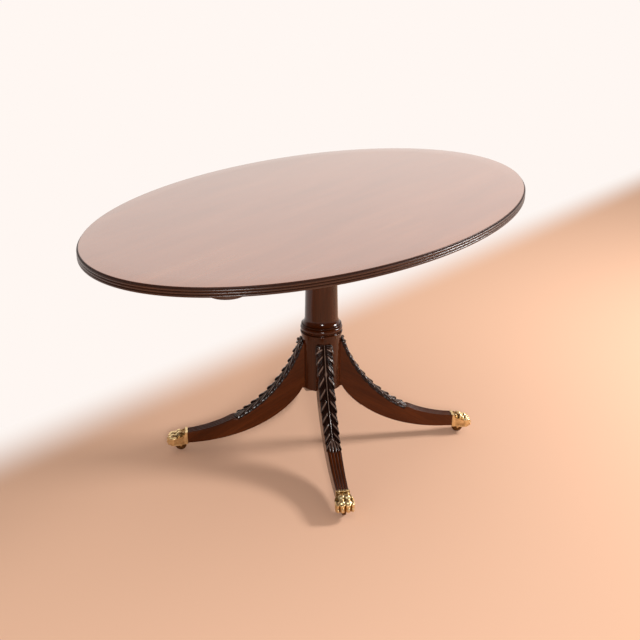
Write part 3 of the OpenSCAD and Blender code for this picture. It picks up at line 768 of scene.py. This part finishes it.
# %% [markdown]
# ## Grid of the leaf
#
# The plan and the height are now taken at every point of one grid. An even grid would cut the
# corners where two fingers meet, so its lines stand closer there and at the edges. The leaf of
# the real table is one with the leg, and here its skirt goes down into the wood, so no gap shows.

# %% Grid of the leaf
FINGERS = [0.0, 0.22, 0.52, 1.0]
SKIRT = -0.0100


def feather(fine=8, across=21):
    """The leaf as (s, y, h) and its painted shade. Its lines are closest together where one finger
    meets the next, and each leaflet falls at once to the next one. A flat skirt inside the wood
    joins edge to edge and closes the surface."""
    arch_turn = np.linspace(0, np.pi, fine)
    psi = np.concatenate([a + (b - a) * (1 - np.cos(arch_turn)) / 2
                          for a, b in zip(FINGERS[:-1], FINGERS[1:])])
    arch = np.concatenate([size * np.sin(arch_turn) for size in ARCHES])
    count = len(TIPS) - 1
    phi = (np.arange(count)[:, None] + psi[None, :]).reshape(-1, 1)
    psi, arch = np.tile(psi, count)[:, None], np.tile(arch, count)[:, None]
    side = np.sin(np.linspace(-np.pi / 2, np.pi / 2, 2 * across - 1))[None, :]
    s, y = leaf_plan(phi, psi, arch, side)
    h, shade = leaf_height(psi, arch, side)
    s, y = (np.concatenate([g, g[:, -2:0:-1]], axis=1) for g in (s, y))
    h = np.concatenate([h, np.full_like(h[:, -2:0:-1], SKIRT)], axis=1)
    h[:, 2 * across - 2] = h[:, 0]
    shade = np.concatenate([shade, np.ones_like(shade[:, -2:0:-1])], axis=1)
    flat = np.full_like(h[:1], SKIRT)
    s, y, shade = (np.concatenate([g[:1], g, g[-1:]]) for g in (s, y, shade))
    return s, y, np.concatenate([flat, h, flat]), shade


leaf_face = feather()
print("lines along the leaf and across it:", leaf_face[0].shape)

# %% [markdown]
# ## Fingers, rib and curls
#
# Where the leaf ends, long fingers point straight down the leg. A thin rib divides the leaf, and
# its head is two rolled tips. They stand clear of the leaflets, so a grid of their own gives them
# full roundness, and they run a little into the leaf, as if cut from the same wood.


# %% Fingers, rib and curls
def finger(root, tip, y0, y1, half, low, high):
    """One long finger at the leaf's end as (s, y, h) and its painted shade: an oval section from
    root to tip, which goes from y0 to y1, is widest before its middle and rises from low to high.
    Its upper side is light, as a painted highlight, and its underside has painted shade."""
    q = np.linspace(0, 1, 26)[:, None]
    turn = np.linspace(0, 2 * np.pi, 18, endpoint=False)[None, :]
    width = half * np.sqrt(np.clip(1 - np.abs(2 * q**0.8 - 1) ** 2.6, 0, 1))
    y = y0 + (y1 - y0) * smooth_step(q, 0.0, 0.9) + width * np.cos(turn)
    h = low + (high - low) * smooth_step(q, 0.0, 0.75) + 0.62 * width * np.sin(turn)
    # Painted highlight on the finger's upper side and painted shade under it.
    shade = 0.5 - 0.45 * np.sin(turn).clip(0, 1) ** 3
    return root + (tip - root) * q + 0 * turn, y, h, shade + 0 * h


def rib(start, end, swell_at):
    """The raised middle rib: a narrow oval section along the leaf, which swells where the second
    tier of the leaf starts and thins out towards its end."""
    s = np.linspace(start, end, 110)
    share = (s - start) / (end - start)
    swell = np.clip(1 - np.abs(s - swell_at) / 0.012, 0, 1) ** 1.3
    ends = np.sqrt(np.clip(1 - (2 * share - 1) ** 10, 0, 1))
    half = (0.0017 - 0.0005 * share + 0.0028 * swell) * ends
    tall = (0.0030 - 0.0008 * share + 0.0004 * swell) * ends
    turn = np.linspace(0, 2 * np.pi, 16, endpoint=False)
    y = half[:, None] * np.cos(turn)
    h = -0.0036 + 0.0010 * share[:, None] + tall[:, None] * np.sin(turn)
    # Painted highlight: the rib's low painted shade keeps it light along its length.
    return s[:, None] + 0 * y, y, h, 0.08 + 0 * y


def curl(s0, y0, radius):
    """A rolled leaf tip: a ball whose surface is pressed in along two spiral lines."""
    around = np.linspace(0, 2 * np.pi, 28, endpoint=False)[None, :]
    over = np.linspace(-np.pi / 2, np.pi / 2, 17)[:, None]
    press = 1 - 0.22 * np.exp(-(((around - 2.2 * over) % np.pi - np.pi / 2) / 0.28) ** 2)
    size = radius * press
    # Painted highlight: the curl's low painted shade keeps it light.
    return (s0 + size * np.cos(over) * np.cos(around),
            y0 + 0.8 * size * np.cos(over) * np.sin(around),
            -0.0020 + 0.9 * size * np.sin(over), 0.12 + 0 * over * around)


print("lines over a curl and round it:", curl(0.0, 0.0, 0.0050)[0].shape)

# %% [markdown]
# ## Carve the four leaves
#
# The tips were counted along the leg: they stand about 34 mm apart and closer towards the end,
# where long fingers point straight down the leg. Two small rolled curls sit under the collar.
# The parts of a leaf could be cut to one surface with booleans, but closed surfaces that run into
# one another look the same and stay clean. Every leg gets the same leaf, as one pattern gives.

# %% Acanthus leaves
leaf_grids = [leaf_face, rib(-0.006, 0.282, 0.078)]
leaf_grids += [finger(0.262, 0.3135, side * 0.0030, side * 0.0046, 0.0043, -0.0062, -0.0026)
               for side in (-1, 1)]
leaf_grids += [finger(0.268, 0.3090, side * 0.0100, side * 0.0122, 0.0036, -0.0060, -0.0030)
               for side in (-1, 1)]
leaf_grids += [curl(0.0055, side * 0.0170, 0.0050) for side in (-1, 1)]
leaf_shapes = [(on_leg(*grid[:3]), grid[3]) for grid in leaf_grids]
for corner in CORNERS:
    make_piece(f"acanthus_leaf_{corner}",
               [sheet(at_corner(points, corner), grain=leg_grain(points, corner), painted_shade=shade)
                for points, shade in leaf_shapes], CARVED_WOOD)


# %% [markdown]
# ## Brass paws
#
# Each cap is one brass casting: a square cuff that takes the wood, a back with two lobes, and
# four toes with knuckles, tips and claws. It could be modelled toe by toe, but a casting has no
# joints. So its upper face is one height over the plan, the highest of several ridges run
# softly together, and the plan is swept round the castor's pin, which also gives its hollow.


# %% Paw helpers
def through(knots, steps):
    """A smooth line through knots, whose first number is the place along it: a cubic between
    each two knots, whose slopes are those of the line from the knot before to the one after."""
    knots = np.asarray(knots, float)
    place, value = knots[:, 0], knots[:, 1:]
    slope = np.gradient(value, place, axis=0)
    at = np.linspace(place[0], place[-1], steps)
    k = np.clip(np.searchsorted(place, at, side="right") - 1, 0, len(place) - 2)
    width = (place[k + 1] - place[k])[:, None]
    t = (at - place[k])[:, None] / width
    return ((2 * t**3 - 3 * t**2 + 1) * value[k] + (t**3 - 2 * t**2 + t) * width * slope[k]
            + (3 * t**2 - 2 * t**3) * value[k + 1] + (t**3 - t**2) * width * slope[k + 1])


def track(knots):
    """Turns knots of (x, values) into a function that gives smooth values at any x."""
    places = np.linspace(knots[0][0], knots[-1][0], 200)
    lines = through(knots, 200).T
    return lambda x: [np.interp(x, places, line) for line in lines]


def run_together(heights, soft=0.0006):
    """The highest of several heights, with soft edges: the logarithm of the sum of their
    exponentials, which is near the highest one wherever it stands clear of the others."""
    return soft * np.log(sum(np.exp(h / soft) for h in heights))


print(f"two ridges of equal height meet {run_together([0.0, 0.0]) * 1000:.2f} mm above them")

# %% [markdown]
# ## A paw's upper face
#
# A lion's toe rises to a knuckle, dips and rises again to its tip, and the outer toes are lower
# and shorter than the inner ones. Each is a row of knots in millimetres from the wood's end:
# place, sideways, height and half width. They could be joined as balls and tubes, but a cast
# surface has soft valleys, and the highest of several ridges gives those.

# %% Paw's upper face
INNER_TOE = [(7, 6.2, 56.0, 6.0), (13, 6.6, 58.6, 7.0), (20, 7.0, 60.4, 7.8), (26, 7.4, 61.4, 8.4),
             (30, 7.6, 59.4, 8.0), (34, 7.8, 54.8, 6.8), (37, 8.0, 52.8, 7.0), (41, 8.2, 54.4, 8.2),
             (45, 8.4, 54.0, 8.6), (49, 8.4, 50.4, 8.2), (52, 8.3, 44.8, 7.6),
             (55, 8.2, 37.0, 6.8), (58, 8.2, 29.0, 6.4)]
OUTER_TOE = [(10, 14.6, 50.0, 3.6), (16, 16.2, 54.6, 4.4), (22, 18.6, 56.2, 5.4),
             (27, 19.8, 54.4, 5.4), (31, 20.6, 50.4, 4.8), (34, 21.0, 48.2, 4.8),
             (38, 20.9, 49.6, 5.7), (42, 20.6, 48.4, 5.8), (46, 20.2, 44.6, 5.6),
             (50, 19.8, 38.0, 5.2), (56, 19.2, 27.0, 4.6)]
BACK = [(0, 61.0), (8, 58.6), (16, 58.4), (24, 58.2), (29, 56.4), (34, 51.6), (39.5, 48.6),
        (44.5, 47.0), (48.5, 43.6), (52, 37.6), (55, 31.0), (58, 28.0)]
RING_X, RING_R = 22.0, 3.1


def paw_height(x, y):
    """Height of the casting over its plan, in metres, and its painted shade. A toe is
    a ridge whose sides fall as the 2.4th power of the distance from its middle line. The other
    forms are the back that slopes to the toes, a lobe on each side behind them, the cuff round
    the wood, and a small ring with a dimple in it. The painted shade is dark where the face lies
    little above the base, between the toes and in the dimple, and light on the cuff."""
    mm, side = x * 1000, np.abs(y) * 1000
    ridges = []
    for knots, fall in ((INNER_TOE, 4.2), (OUTER_TOE, 4.4)):
        middle, high, half = track(knots)(mm)
        ridges.append((high - fall * (np.abs(side - middle) / half) ** 2.4) / 1000)
    back = track(BACK)(mm)[0]
    base = (back - 3.4 * smooth_step(side, 8.0, 17.0) * smooth_step(mm, 8.0, 18.0)
            - 2.0 * smooth_step(side, 15.0, 24.0)) / 1000
    lobe = 0.0608 - 0.0034 * (((mm - 11.5) / 4.2) ** 2 + ((side - 12.0) / 3.6) ** 2)
    cuff = 0.0627 - 0.012 * smooth_step(mm, 6.2, 7.6) - 0.00006 * mm
    ring = np.hypot(mm - RING_X, side)
    boss = 0.0612 - 0.0011 * ((ring - RING_R) / 1.1) ** 2
    top = run_together([*ridges, base, lobe, cuff, boss])
    top = top - 0.0022 * np.exp(-(ring / 2.0) ** 4)
    # Painted shade: darker where the face lies little above the base, between the toes and in the
    # ring's dimple; light on the cuff.
    shade_amount = 1 - np.clip((top - base) / 0.0030, 0, 1) * (1 - 0.8 * np.exp(-(ring / 2.2) ** 4))
    return top, np.where(mm < 6.4, 0.1, shade_amount)


print(f"inner toe, {INNER_TOE[-1][0]} mm long, outer toe, {OUTER_TOE[-1][0]} mm long")

# %% [markdown]
# ## A paw's plan
#
# Seen from above the cap is square at the cuff and scalloped round the toes. It could be a curve
# that is extruded, but the upper face needs to know how far the plan reaches at each bearing. So
# one side is a list of corners in millimetres, mirrored to the other and read by bearing.

# %% Paw's plan
PAW_MIDDLE = 0.030
PLAN = [(0.0, 0.0), (0.0, 17.2), (0.6, 18.3), (1.6, 18.6), (6.4, 18.7), (7.4, 18.0), (9.5, 18.3),
        (14, 20.4), (20, 23.0), (26, 24.8), (32, 25.6), (38, 25.9), (43.5, 25.8), (47.6, 25.0),
        (50.8, 23.4), (53.0, 21.6), (53.7, 19.6), (52.6, 17.0), (50.4, 15.2), (53.2, 13.6),
        (55.9, 11.0), (56.5, 8.2), (55.8, 4.6), (53.6, 2.2), (50.9, 0.8), (50.4, 0.0)]


def paw_outline(around):
    """Bearings round the paw's middle, closest together at the toes and the cuff, and how far
    the plan reaches at each."""
    half = np.array(PLAN) / 1000
    plan = np.concatenate([half, half[-2:0:-1] * [1, -1]]) - [PAW_MIDDLE, 0]
    bearing = np.arctan2(plan[:, 1], plan[:, 0]) % (2 * np.pi)
    reach = np.hypot(plan[:, 0], plan[:, 1])
    turn = np.linspace(0, 2 * np.pi, around, endpoint=False)
    turn = turn - 0.125 * np.sin(2 * turn)
    order = np.argsort(bearing)
    return turn, np.interp(turn, bearing[order], reach[order], period=2 * np.pi)


print(f"the plan reaches {paw_outline(216)[1].max() * 1000:.1f} mm from the paw's middle")

# %% [markdown]
# ## A paw's walls and pocket
#
# The walls go down from the rim of the upper face, with a sunk panel on each flank and clefts
# between the toes, and the round pocket takes the castor. Shade is painted on the clefts, the
# flank panels, the lower walls and in the pocket. A boolean could cut the pocket, but one grid
# that goes on round the rim and up into the pocket stays closed without it.

# %% Paw's walls and pocket
PIN_X, POCKET_R, POCKET_Z = 0.025, 0.020, 0.0359
PAW_LOW, TIP_RISE = 0.0235, 0.0022


def underside(x):
    """Height of the casting's lower edge, which rises towards the tips of the toes."""
    return PAW_LOW + TIP_RISE * smooth_step(x, 0.043, 0.053)


def lion_paw(around=216, rings_n=52):
    """One cap along the X axis, as a closed grid that goes round its middle: out over the upper
    face, down the wall, in under the rim, and up into the round pocket of the castor. The wall
    has a sunk panel on each flank, and the cuff's end leans as the leg's end does."""
    turn, outline = paw_outline(around)
    cos, sin = np.cos(turn)[None, :], np.sin(turn)[None, :]
    share = np.sin(np.linspace(0, np.pi / 2, rings_n))[:, None] ** 1.1
    x = PAW_MIDDLE + share * outline * cos
    y = share * outline * sin
    z, shade_amount = paw_height(x, y)
    lip = np.clip((share - 0.90) / 0.10, 0, 1)
    z = z - 0.0026 * (1 - np.sqrt(1 - lip**2)) * (1 - 0.75 * (x < 0.0066))
    z = np.maximum(z, underside(x) + 0.004)

    down = np.linspace(0, 1, 17)[1:, None]
    edge_x, edge_y, edge_z = x[-1:], y[-1:], z[-1:]
    wall_z = edge_z + (underside(edge_x) - edge_z) * down
    flank = (smooth_step(edge_x, 0.009, 0.011) * (1 - smooth_step(edge_x, 0.038, 0.041))
             * smooth_step(down, 0.10, 0.18) * (1 - smooth_step(down, 0.84, 0.90)))
    pulled = 1 - (0.0009 * flank + 0.0010 * down**3) / outline
    wall_x, wall_y = PAW_MIDDLE + outline * cos * pulled, outline * sin * pulled
    pocket = np.sqrt(POCKET_R**2 - (PAW_MIDDLE - PIN_X) ** 2 * sin**2) - (PAW_MIDDLE - PIN_X) * cos
    inner = [(pocket, PAW_LOW), (pocket, POCKET_Z), (0.5 * pocket, POCKET_Z), (0 * pocket, POCKET_Z)]
    rim_in = (outline * pulled[-1:] + pocket) / 2
    inner = [(rim_in, underside(PAW_MIDDLE + rim_in * cos))] + inner
    points = [np.stack([x, y, z], axis=-1), np.stack([wall_x, wall_y, wall_z], axis=-1)]
    points += [np.stack([PAW_MIDDLE + r * cos, r * sin, height + 0 * r], axis=-1)
               for r, height in inner]
    # Painted shade: dark on the clefts between the toes, some on the flank panels, growing down the
    # walls, and near black in the pocket.
    cleft = np.exp(-(edge_y / 0.0017) ** 2) + np.exp(-((np.abs(edge_y) - 0.0152) / 0.0016) ** 2)
    cleft = cleft * smooth_step(edge_x, 0.044, 0.049)
    shade = [shade_amount, 0.03 + 0.20 * flank + 0.8 * cleft + 0.12 * down**2]
    shade += [0.9 + 0 * r for r, _ in inner]
    points, shade = np.concatenate(points), np.concatenate(shade)
    lean = 0.03 * (0.062 - points[..., 2]) * (1 - smooth_step(points[..., 0], 0.0, 0.020))
    points[..., 0] += LEG_REACH - lean * (points[..., 2] > 0) * (shade < 0.89)
    return points, shade


paw_points, paw_shade = lion_paw()
paw_size = np.ptp(paw_points.reshape(-1, 3), axis=0) * 1000
print("paw, length, width and height in mm:", np.round(paw_size, 1).tolist())

# %% [markdown]
# ## Claws and the four paws
#
# Each toe ends in a short horn that bends over to a point. It is too thin for the height of the
# casting, so it is a round section carried along its own curve and stuck into the toe. The four
# paws are alike, as they come from one mould, and each is turned to its leg.


# %% Claws and paws
def carried(path, across, upward, side, cols=20):
    """An oval section carried along a path. Across is its half width along side, upward its half
    height square to side and to the path, and both fall to nothing at the ends."""
    along = np.gradient(path, axis=0)
    along /= np.linalg.norm(along, axis=1, keepdims=True)
    side = np.asarray(side, float) / np.linalg.norm(side)
    up = np.cross(along, np.broadcast_to(side, along.shape))
    up /= np.linalg.norm(up, axis=1, keepdims=True)
    up *= np.sign(up[:1, 2:] + 1e-9)
    angle = np.linspace(0, 2 * np.pi, cols, endpoint=False)
    return (path[:, None, :]
            + np.cos(angle)[None, :, None] * across[:, None, None] * side
            + np.sin(angle)[None, :, None] * upward[:, None, None] * up[:, None, :])


def claw(x0, y0, z0, size, low):
    """A claw: a small horn out of a toe's tip, which bends over and ends in a point at low."""
    path = bend([(x0 - 0.004, z0), (x0 + 0.0022, z0 + 0.0012), (x0 + 0.0040, z0 - 0.006),
                 (x0 + 0.0022, low)], 22)
    half = size * np.sqrt(1 - np.linspace(0, 1, 22) ** 1.8)
    half[0] = 0.0004
    path = np.stack([LEG_REACH + path[:, 0], y0 + 0 * path[:, 0], path[:, 1]], axis=-1)
    return carried(path, half, half * 1.1, (0, 1, 0), 14)


paw_shapes = [(paw_points, paw_shade)]
paw_shapes += [(claw(0.0556, side * 0.0082, 0.0375, 0.0032, 0.0262), 0.0) for side in (-1, 1)]
paw_shapes += [(claw(0.0526, side * 0.0194, 0.0355, 0.0029, 0.0258), 0.0) for side in (-1, 1)]
for corner in CORNERS:
    make_piece(f"lion_paw_{corner}",
               [sheet(at_corner(points, corner), painted_shade=shade) for points, shade in paw_shapes],
               BRASS, [f"paw_cap_{corner}"])


# %% [markdown]
# ## Finishes of the frame's own pieces
#
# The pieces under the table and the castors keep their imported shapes, because those are already
# as plain as the real ones. Their meshes have no grain attribute, so their wood reads its
# direction from Object coordinates instead: along the table for the bearers, and across it for
# the cleats and the block.


# %% Frame finishes
def dress(node, material):
    """Gives a frame node one material."""
    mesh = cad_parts[node].data
    mesh.materials.clear()
    mesh.materials.append(material)


def from_object(material, name, order):
    """A copy of a wood that reads its grain from Object coordinates, with the axes in order."""
    copy = material.copy()
    copy.name = name
    tree = copy.node_tree
    old = next(n for n in tree.nodes if n.type == "ATTRIBUTE" and n.attribute_name == "grain")
    coords = tree.nodes.new("ShaderNodeTexCoord")
    split = tree.nodes.new("ShaderNodeSeparateXYZ")
    joined = tree.nodes.new("ShaderNodeCombineXYZ")
    tree.links.new(coords.outputs["Object"], split.inputs["Vector"])
    for target, source in zip("XYZ", order):
        tree.links.new(split.outputs[source], joined.inputs[target])
    for old_link in list(old.outputs["Vector"].links):
        tree.links.new(joined.outputs["Vector"], old_link.to_socket)
    tree.nodes.remove(old)
    return copy


UNDER_ALONG = from_object(UNDER_WOOD, "dark_wood_along", "XYZ")
UNDER_ACROSS = from_object(UNDER_WOOD, "dark_wood_across", "YXZ")
axles = [f"castor_axle_{corner}" for corner in CORNERS]
castors = [f"castor_{part}_{corner}" for corner in CORNERS for part in ("horn", "wheel")]
finishes = [(UNDER_ALONG, ["bearer_front", "bearer_back"]),
            (UNDER_ACROSS, ["cleat_left", "cleat_right", "pillar_block"]),
            (STEEL, ["tie_rod", "rod_nuts", "rod_washers", "bearer_screws", "cleat_screws",
                     "block_screws", "spider_screws"]),
            (IRON, ["spider_plate"]),
            (BRASS_PLAIN, ["cap_pins"] + axles),
            (BRASS_SHADED, castors)]
for material, nodes in finishes:
    for node in nodes:
        dress(node, material)
    print(f"{material.name}: {len(nodes)} packed pieces")


# %% [markdown]
# ## Rays that see the room
#
# The white behind the table must not light it, or the dark wood would turn grey. So the white
# parts of the floor and the world are shown only to rays from the camera and to rays that were
# mirrored or let through, and all other rays meet the plain floor and the soft fill.


# %% Rays that see the room
def seen_rays(tree):
    """A value of 1 for rays from the camera, mirrored rays and rays let through, and of 0 for the
    light that falls on things."""
    rays = tree.nodes.new("ShaderNodeLightPath").outputs
    mirrored = maths(tree, "MAXIMUM", rays["Is Glossy Ray"], rays["Is Transmission Ray"])
    return maths(tree, "MAXIMUM", rays["Is Camera Ray"], mirrored)


def shown(tree, amount, first, second, output):
    """Shows the first shader where amount is 0 and the second where it is 1."""
    mix = tree.nodes.new("ShaderNodeMixShader")
    for value, socket in zip((amount, first, second), mix.inputs):
        tree.links.new(value, socket)
    tree.links.new(mix.outputs["Shader"], tree.nodes[output].inputs["Surface"])


# %% [markdown]
# ## Floor
#
# The floor is plain and pale, of the warm colour that the dark wood mirrors, and takes the
# table's shadow. It fades to white far out and behind the table. The fade could be a second sheet,
# but two fades in one material need no seam: one over the distance from the middle, and one over
# the distance along FADE_WAY.

# %% Floor
FLOOR_HALF = 30
FADE_WAY = (0.067, 1.0, 0.0)
floor_mesh = bpy.data.meshes.new("floor")
floor_corners = [(x * FLOOR_HALF, y * FLOOR_HALF, 0) for x, y in ((-1, -1), (1, -1), (1, 1), (-1, 1))]
floor_mesh.from_pydata(floor_corners, [], [(0, 1, 2, 3)])
floor = bpy.data.objects.new("floor", floor_mesh)
bpy.context.scene.collection.objects.link(floor)
floor_paint = bpy.data.materials.new("floor_paint")
floor_paint.use_nodes = True
tree = floor_paint.node_tree
floor_shader = tree.nodes["Principled BSDF"]
floor_shader.inputs["Base Color"].default_value = (0.82, 0.50, 0.34, 1)
floor_shader.inputs["Roughness"].default_value = 0.9
floor_shader.inputs["Specular IOR Level"].default_value = 0.1
place = tree.nodes.new("ShaderNodeTexCoord").outputs["Object"]
fades = []
for operation, near, far in (("LENGTH", 3.2, 5.5), ("DOT_PRODUCT", 0.48, 0.80)):
    measure = tree.nodes.new("ShaderNodeVectorMath")
    measure.operation = operation
    measure.inputs[1].default_value = FADE_WAY
    tree.links.new(place, measure.inputs[0])
    fades.append(ranged(tree, measure.outputs["Value"], 0.0, 1.0, near, far, "SMOOTHSTEP"))
amount = maths(tree, "MULTIPLY", maths(tree, "MAXIMUM", *fades), seen_rays(tree))
white = tree.nodes.new("ShaderNodeEmission")
white.inputs["Color"].default_value = (1.0, 0.93, 0.89, 1)
shown(tree, amount, floor_shader.outputs["BSDF"], white.outputs["Emission"], "Material Output")
floor_mesh.materials.append(floor_paint)
print(f"floor: {2 * FLOOR_HALF} m wide")

# %% [markdown]
# ## World
#
# The room is white along WHITE_WAY, which the polished top mirrors, and DIM on the camera's side,
# so the carving is dark with sharp lights. An image of a room would do this too, but a range over
# the direction in which a ray leaves is plain and has no pixels. The camera itself sees white all
# round, and the light that falls on things comes from an even fill, which softens the shadows.

# %% World
WHITE_WAY, DIM, FILL = (0.80, 0.60, 0.0), 0.09, 0.54
world = bpy.data.worlds.new("studio")
bpy.context.scene.world = world
world.use_nodes = True
tree = world.node_tree
fill = tree.nodes["Background"]
fill.inputs["Color"].default_value = (1.0, 0.965, 0.93, 1)
fill.inputs["Strength"].default_value = FILL
bright = tree.nodes.new("ShaderNodeBackground")
bright.inputs["Color"].default_value = (1.0, 0.93, 0.88, 1)
towards_white = tree.nodes.new("ShaderNodeVectorMath")
towards_white.operation = "DOT_PRODUCT"
towards_white.inputs[1].default_value = WHITE_WAY
tree.links.new(tree.nodes.new("ShaderNodeTexCoord").outputs["Generated"], towards_white.inputs[0])
room = ranged(tree, towards_white.outputs["Value"], DIM, 1.0, 0.05, 0.65, "SMOOTHSTEP")
camera_rays = tree.nodes.new("ShaderNodeLightPath").outputs["Is Camera Ray"]
tree.links.new(maths(tree, "MAXIMUM", camera_rays, room), bright.inputs["Strength"])
shown(tree, seen_rays(tree), fill.outputs["Background"], bright.outputs["Background"],
      "World Output")
print(f"world: fill of strength {FILL}")

# %% [markdown]
# ## Lamps
#
# Two soft lamps stand where the lights on the turned ring put them, one behind the camera and one
# at the right. A sun would give hard shadows, and these are soft, so each lamp is a flat
# rectangle whose size sets how soft.


# %% Lamps
def soft_lamp(name, place, target, width, height, watts):
    """A flat soft lamp at place that shines towards target."""
    data = bpy.data.lights.new(name, "AREA")
    data.shape = "RECTANGLE"
    data.size, data.size_y = width, height
    data.energy = watts
    lamp = bpy.data.objects.new(name, data)
    bpy.context.scene.collection.objects.link(lamp)
    place, target = np.array(place, float), np.array(target, float)
    lamp.location = place
    aim = target - place
    lamp.rotation_euler = (np.arctan2(np.hypot(aim[0], aim[1]), -aim[2]), 0,
                           np.arctan2(-aim[0], aim[1]))
    print(f"{name}: {watts} W")


soft_lamp("lamp_behind_camera", (-2.79, -2.54, 1.70), (0, 0, 0.4), 0.7, 0.45, 62)
soft_lamp("lamp_right", (2.11, -1.91, 1.86), (0, 0, 0.4), 0.8, 0.5, 80)

# %% [markdown]
# ## Camera
#
# The camera stands where the photograph was taken from. Its place, direction and lens were worked
# out from the oval, the four feet and the upright column, so that the picture can be laid over
# the photograph. The lens follows from the focal length in pixels and the picture's width.

# %% Camera
CAMERA_PLACE = (-2.2683, -1.7037, 1.5304)
YAW, PITCH = 53.011, 21.929
PIXELS, FOCAL_PIXELS = 640, 1061.2
camera_data = bpy.data.cameras.new("camera")
camera_data.sensor_width = 36
camera_data.lens = FOCAL_PIXELS * camera_data.sensor_width / PIXELS
camera = bpy.data.objects.new("camera", camera_data)
bpy.context.scene.collection.objects.link(camera)
camera.location = CAMERA_PLACE
camera.rotation_euler = (np.radians(90 - PITCH), 0, np.radians(-YAW))
bpy.context.scene.camera = camera
bpy.context.scene.view_settings.view_transform = "Standard"
print(f"camera: lens {camera_data.lens:.1f} mm")
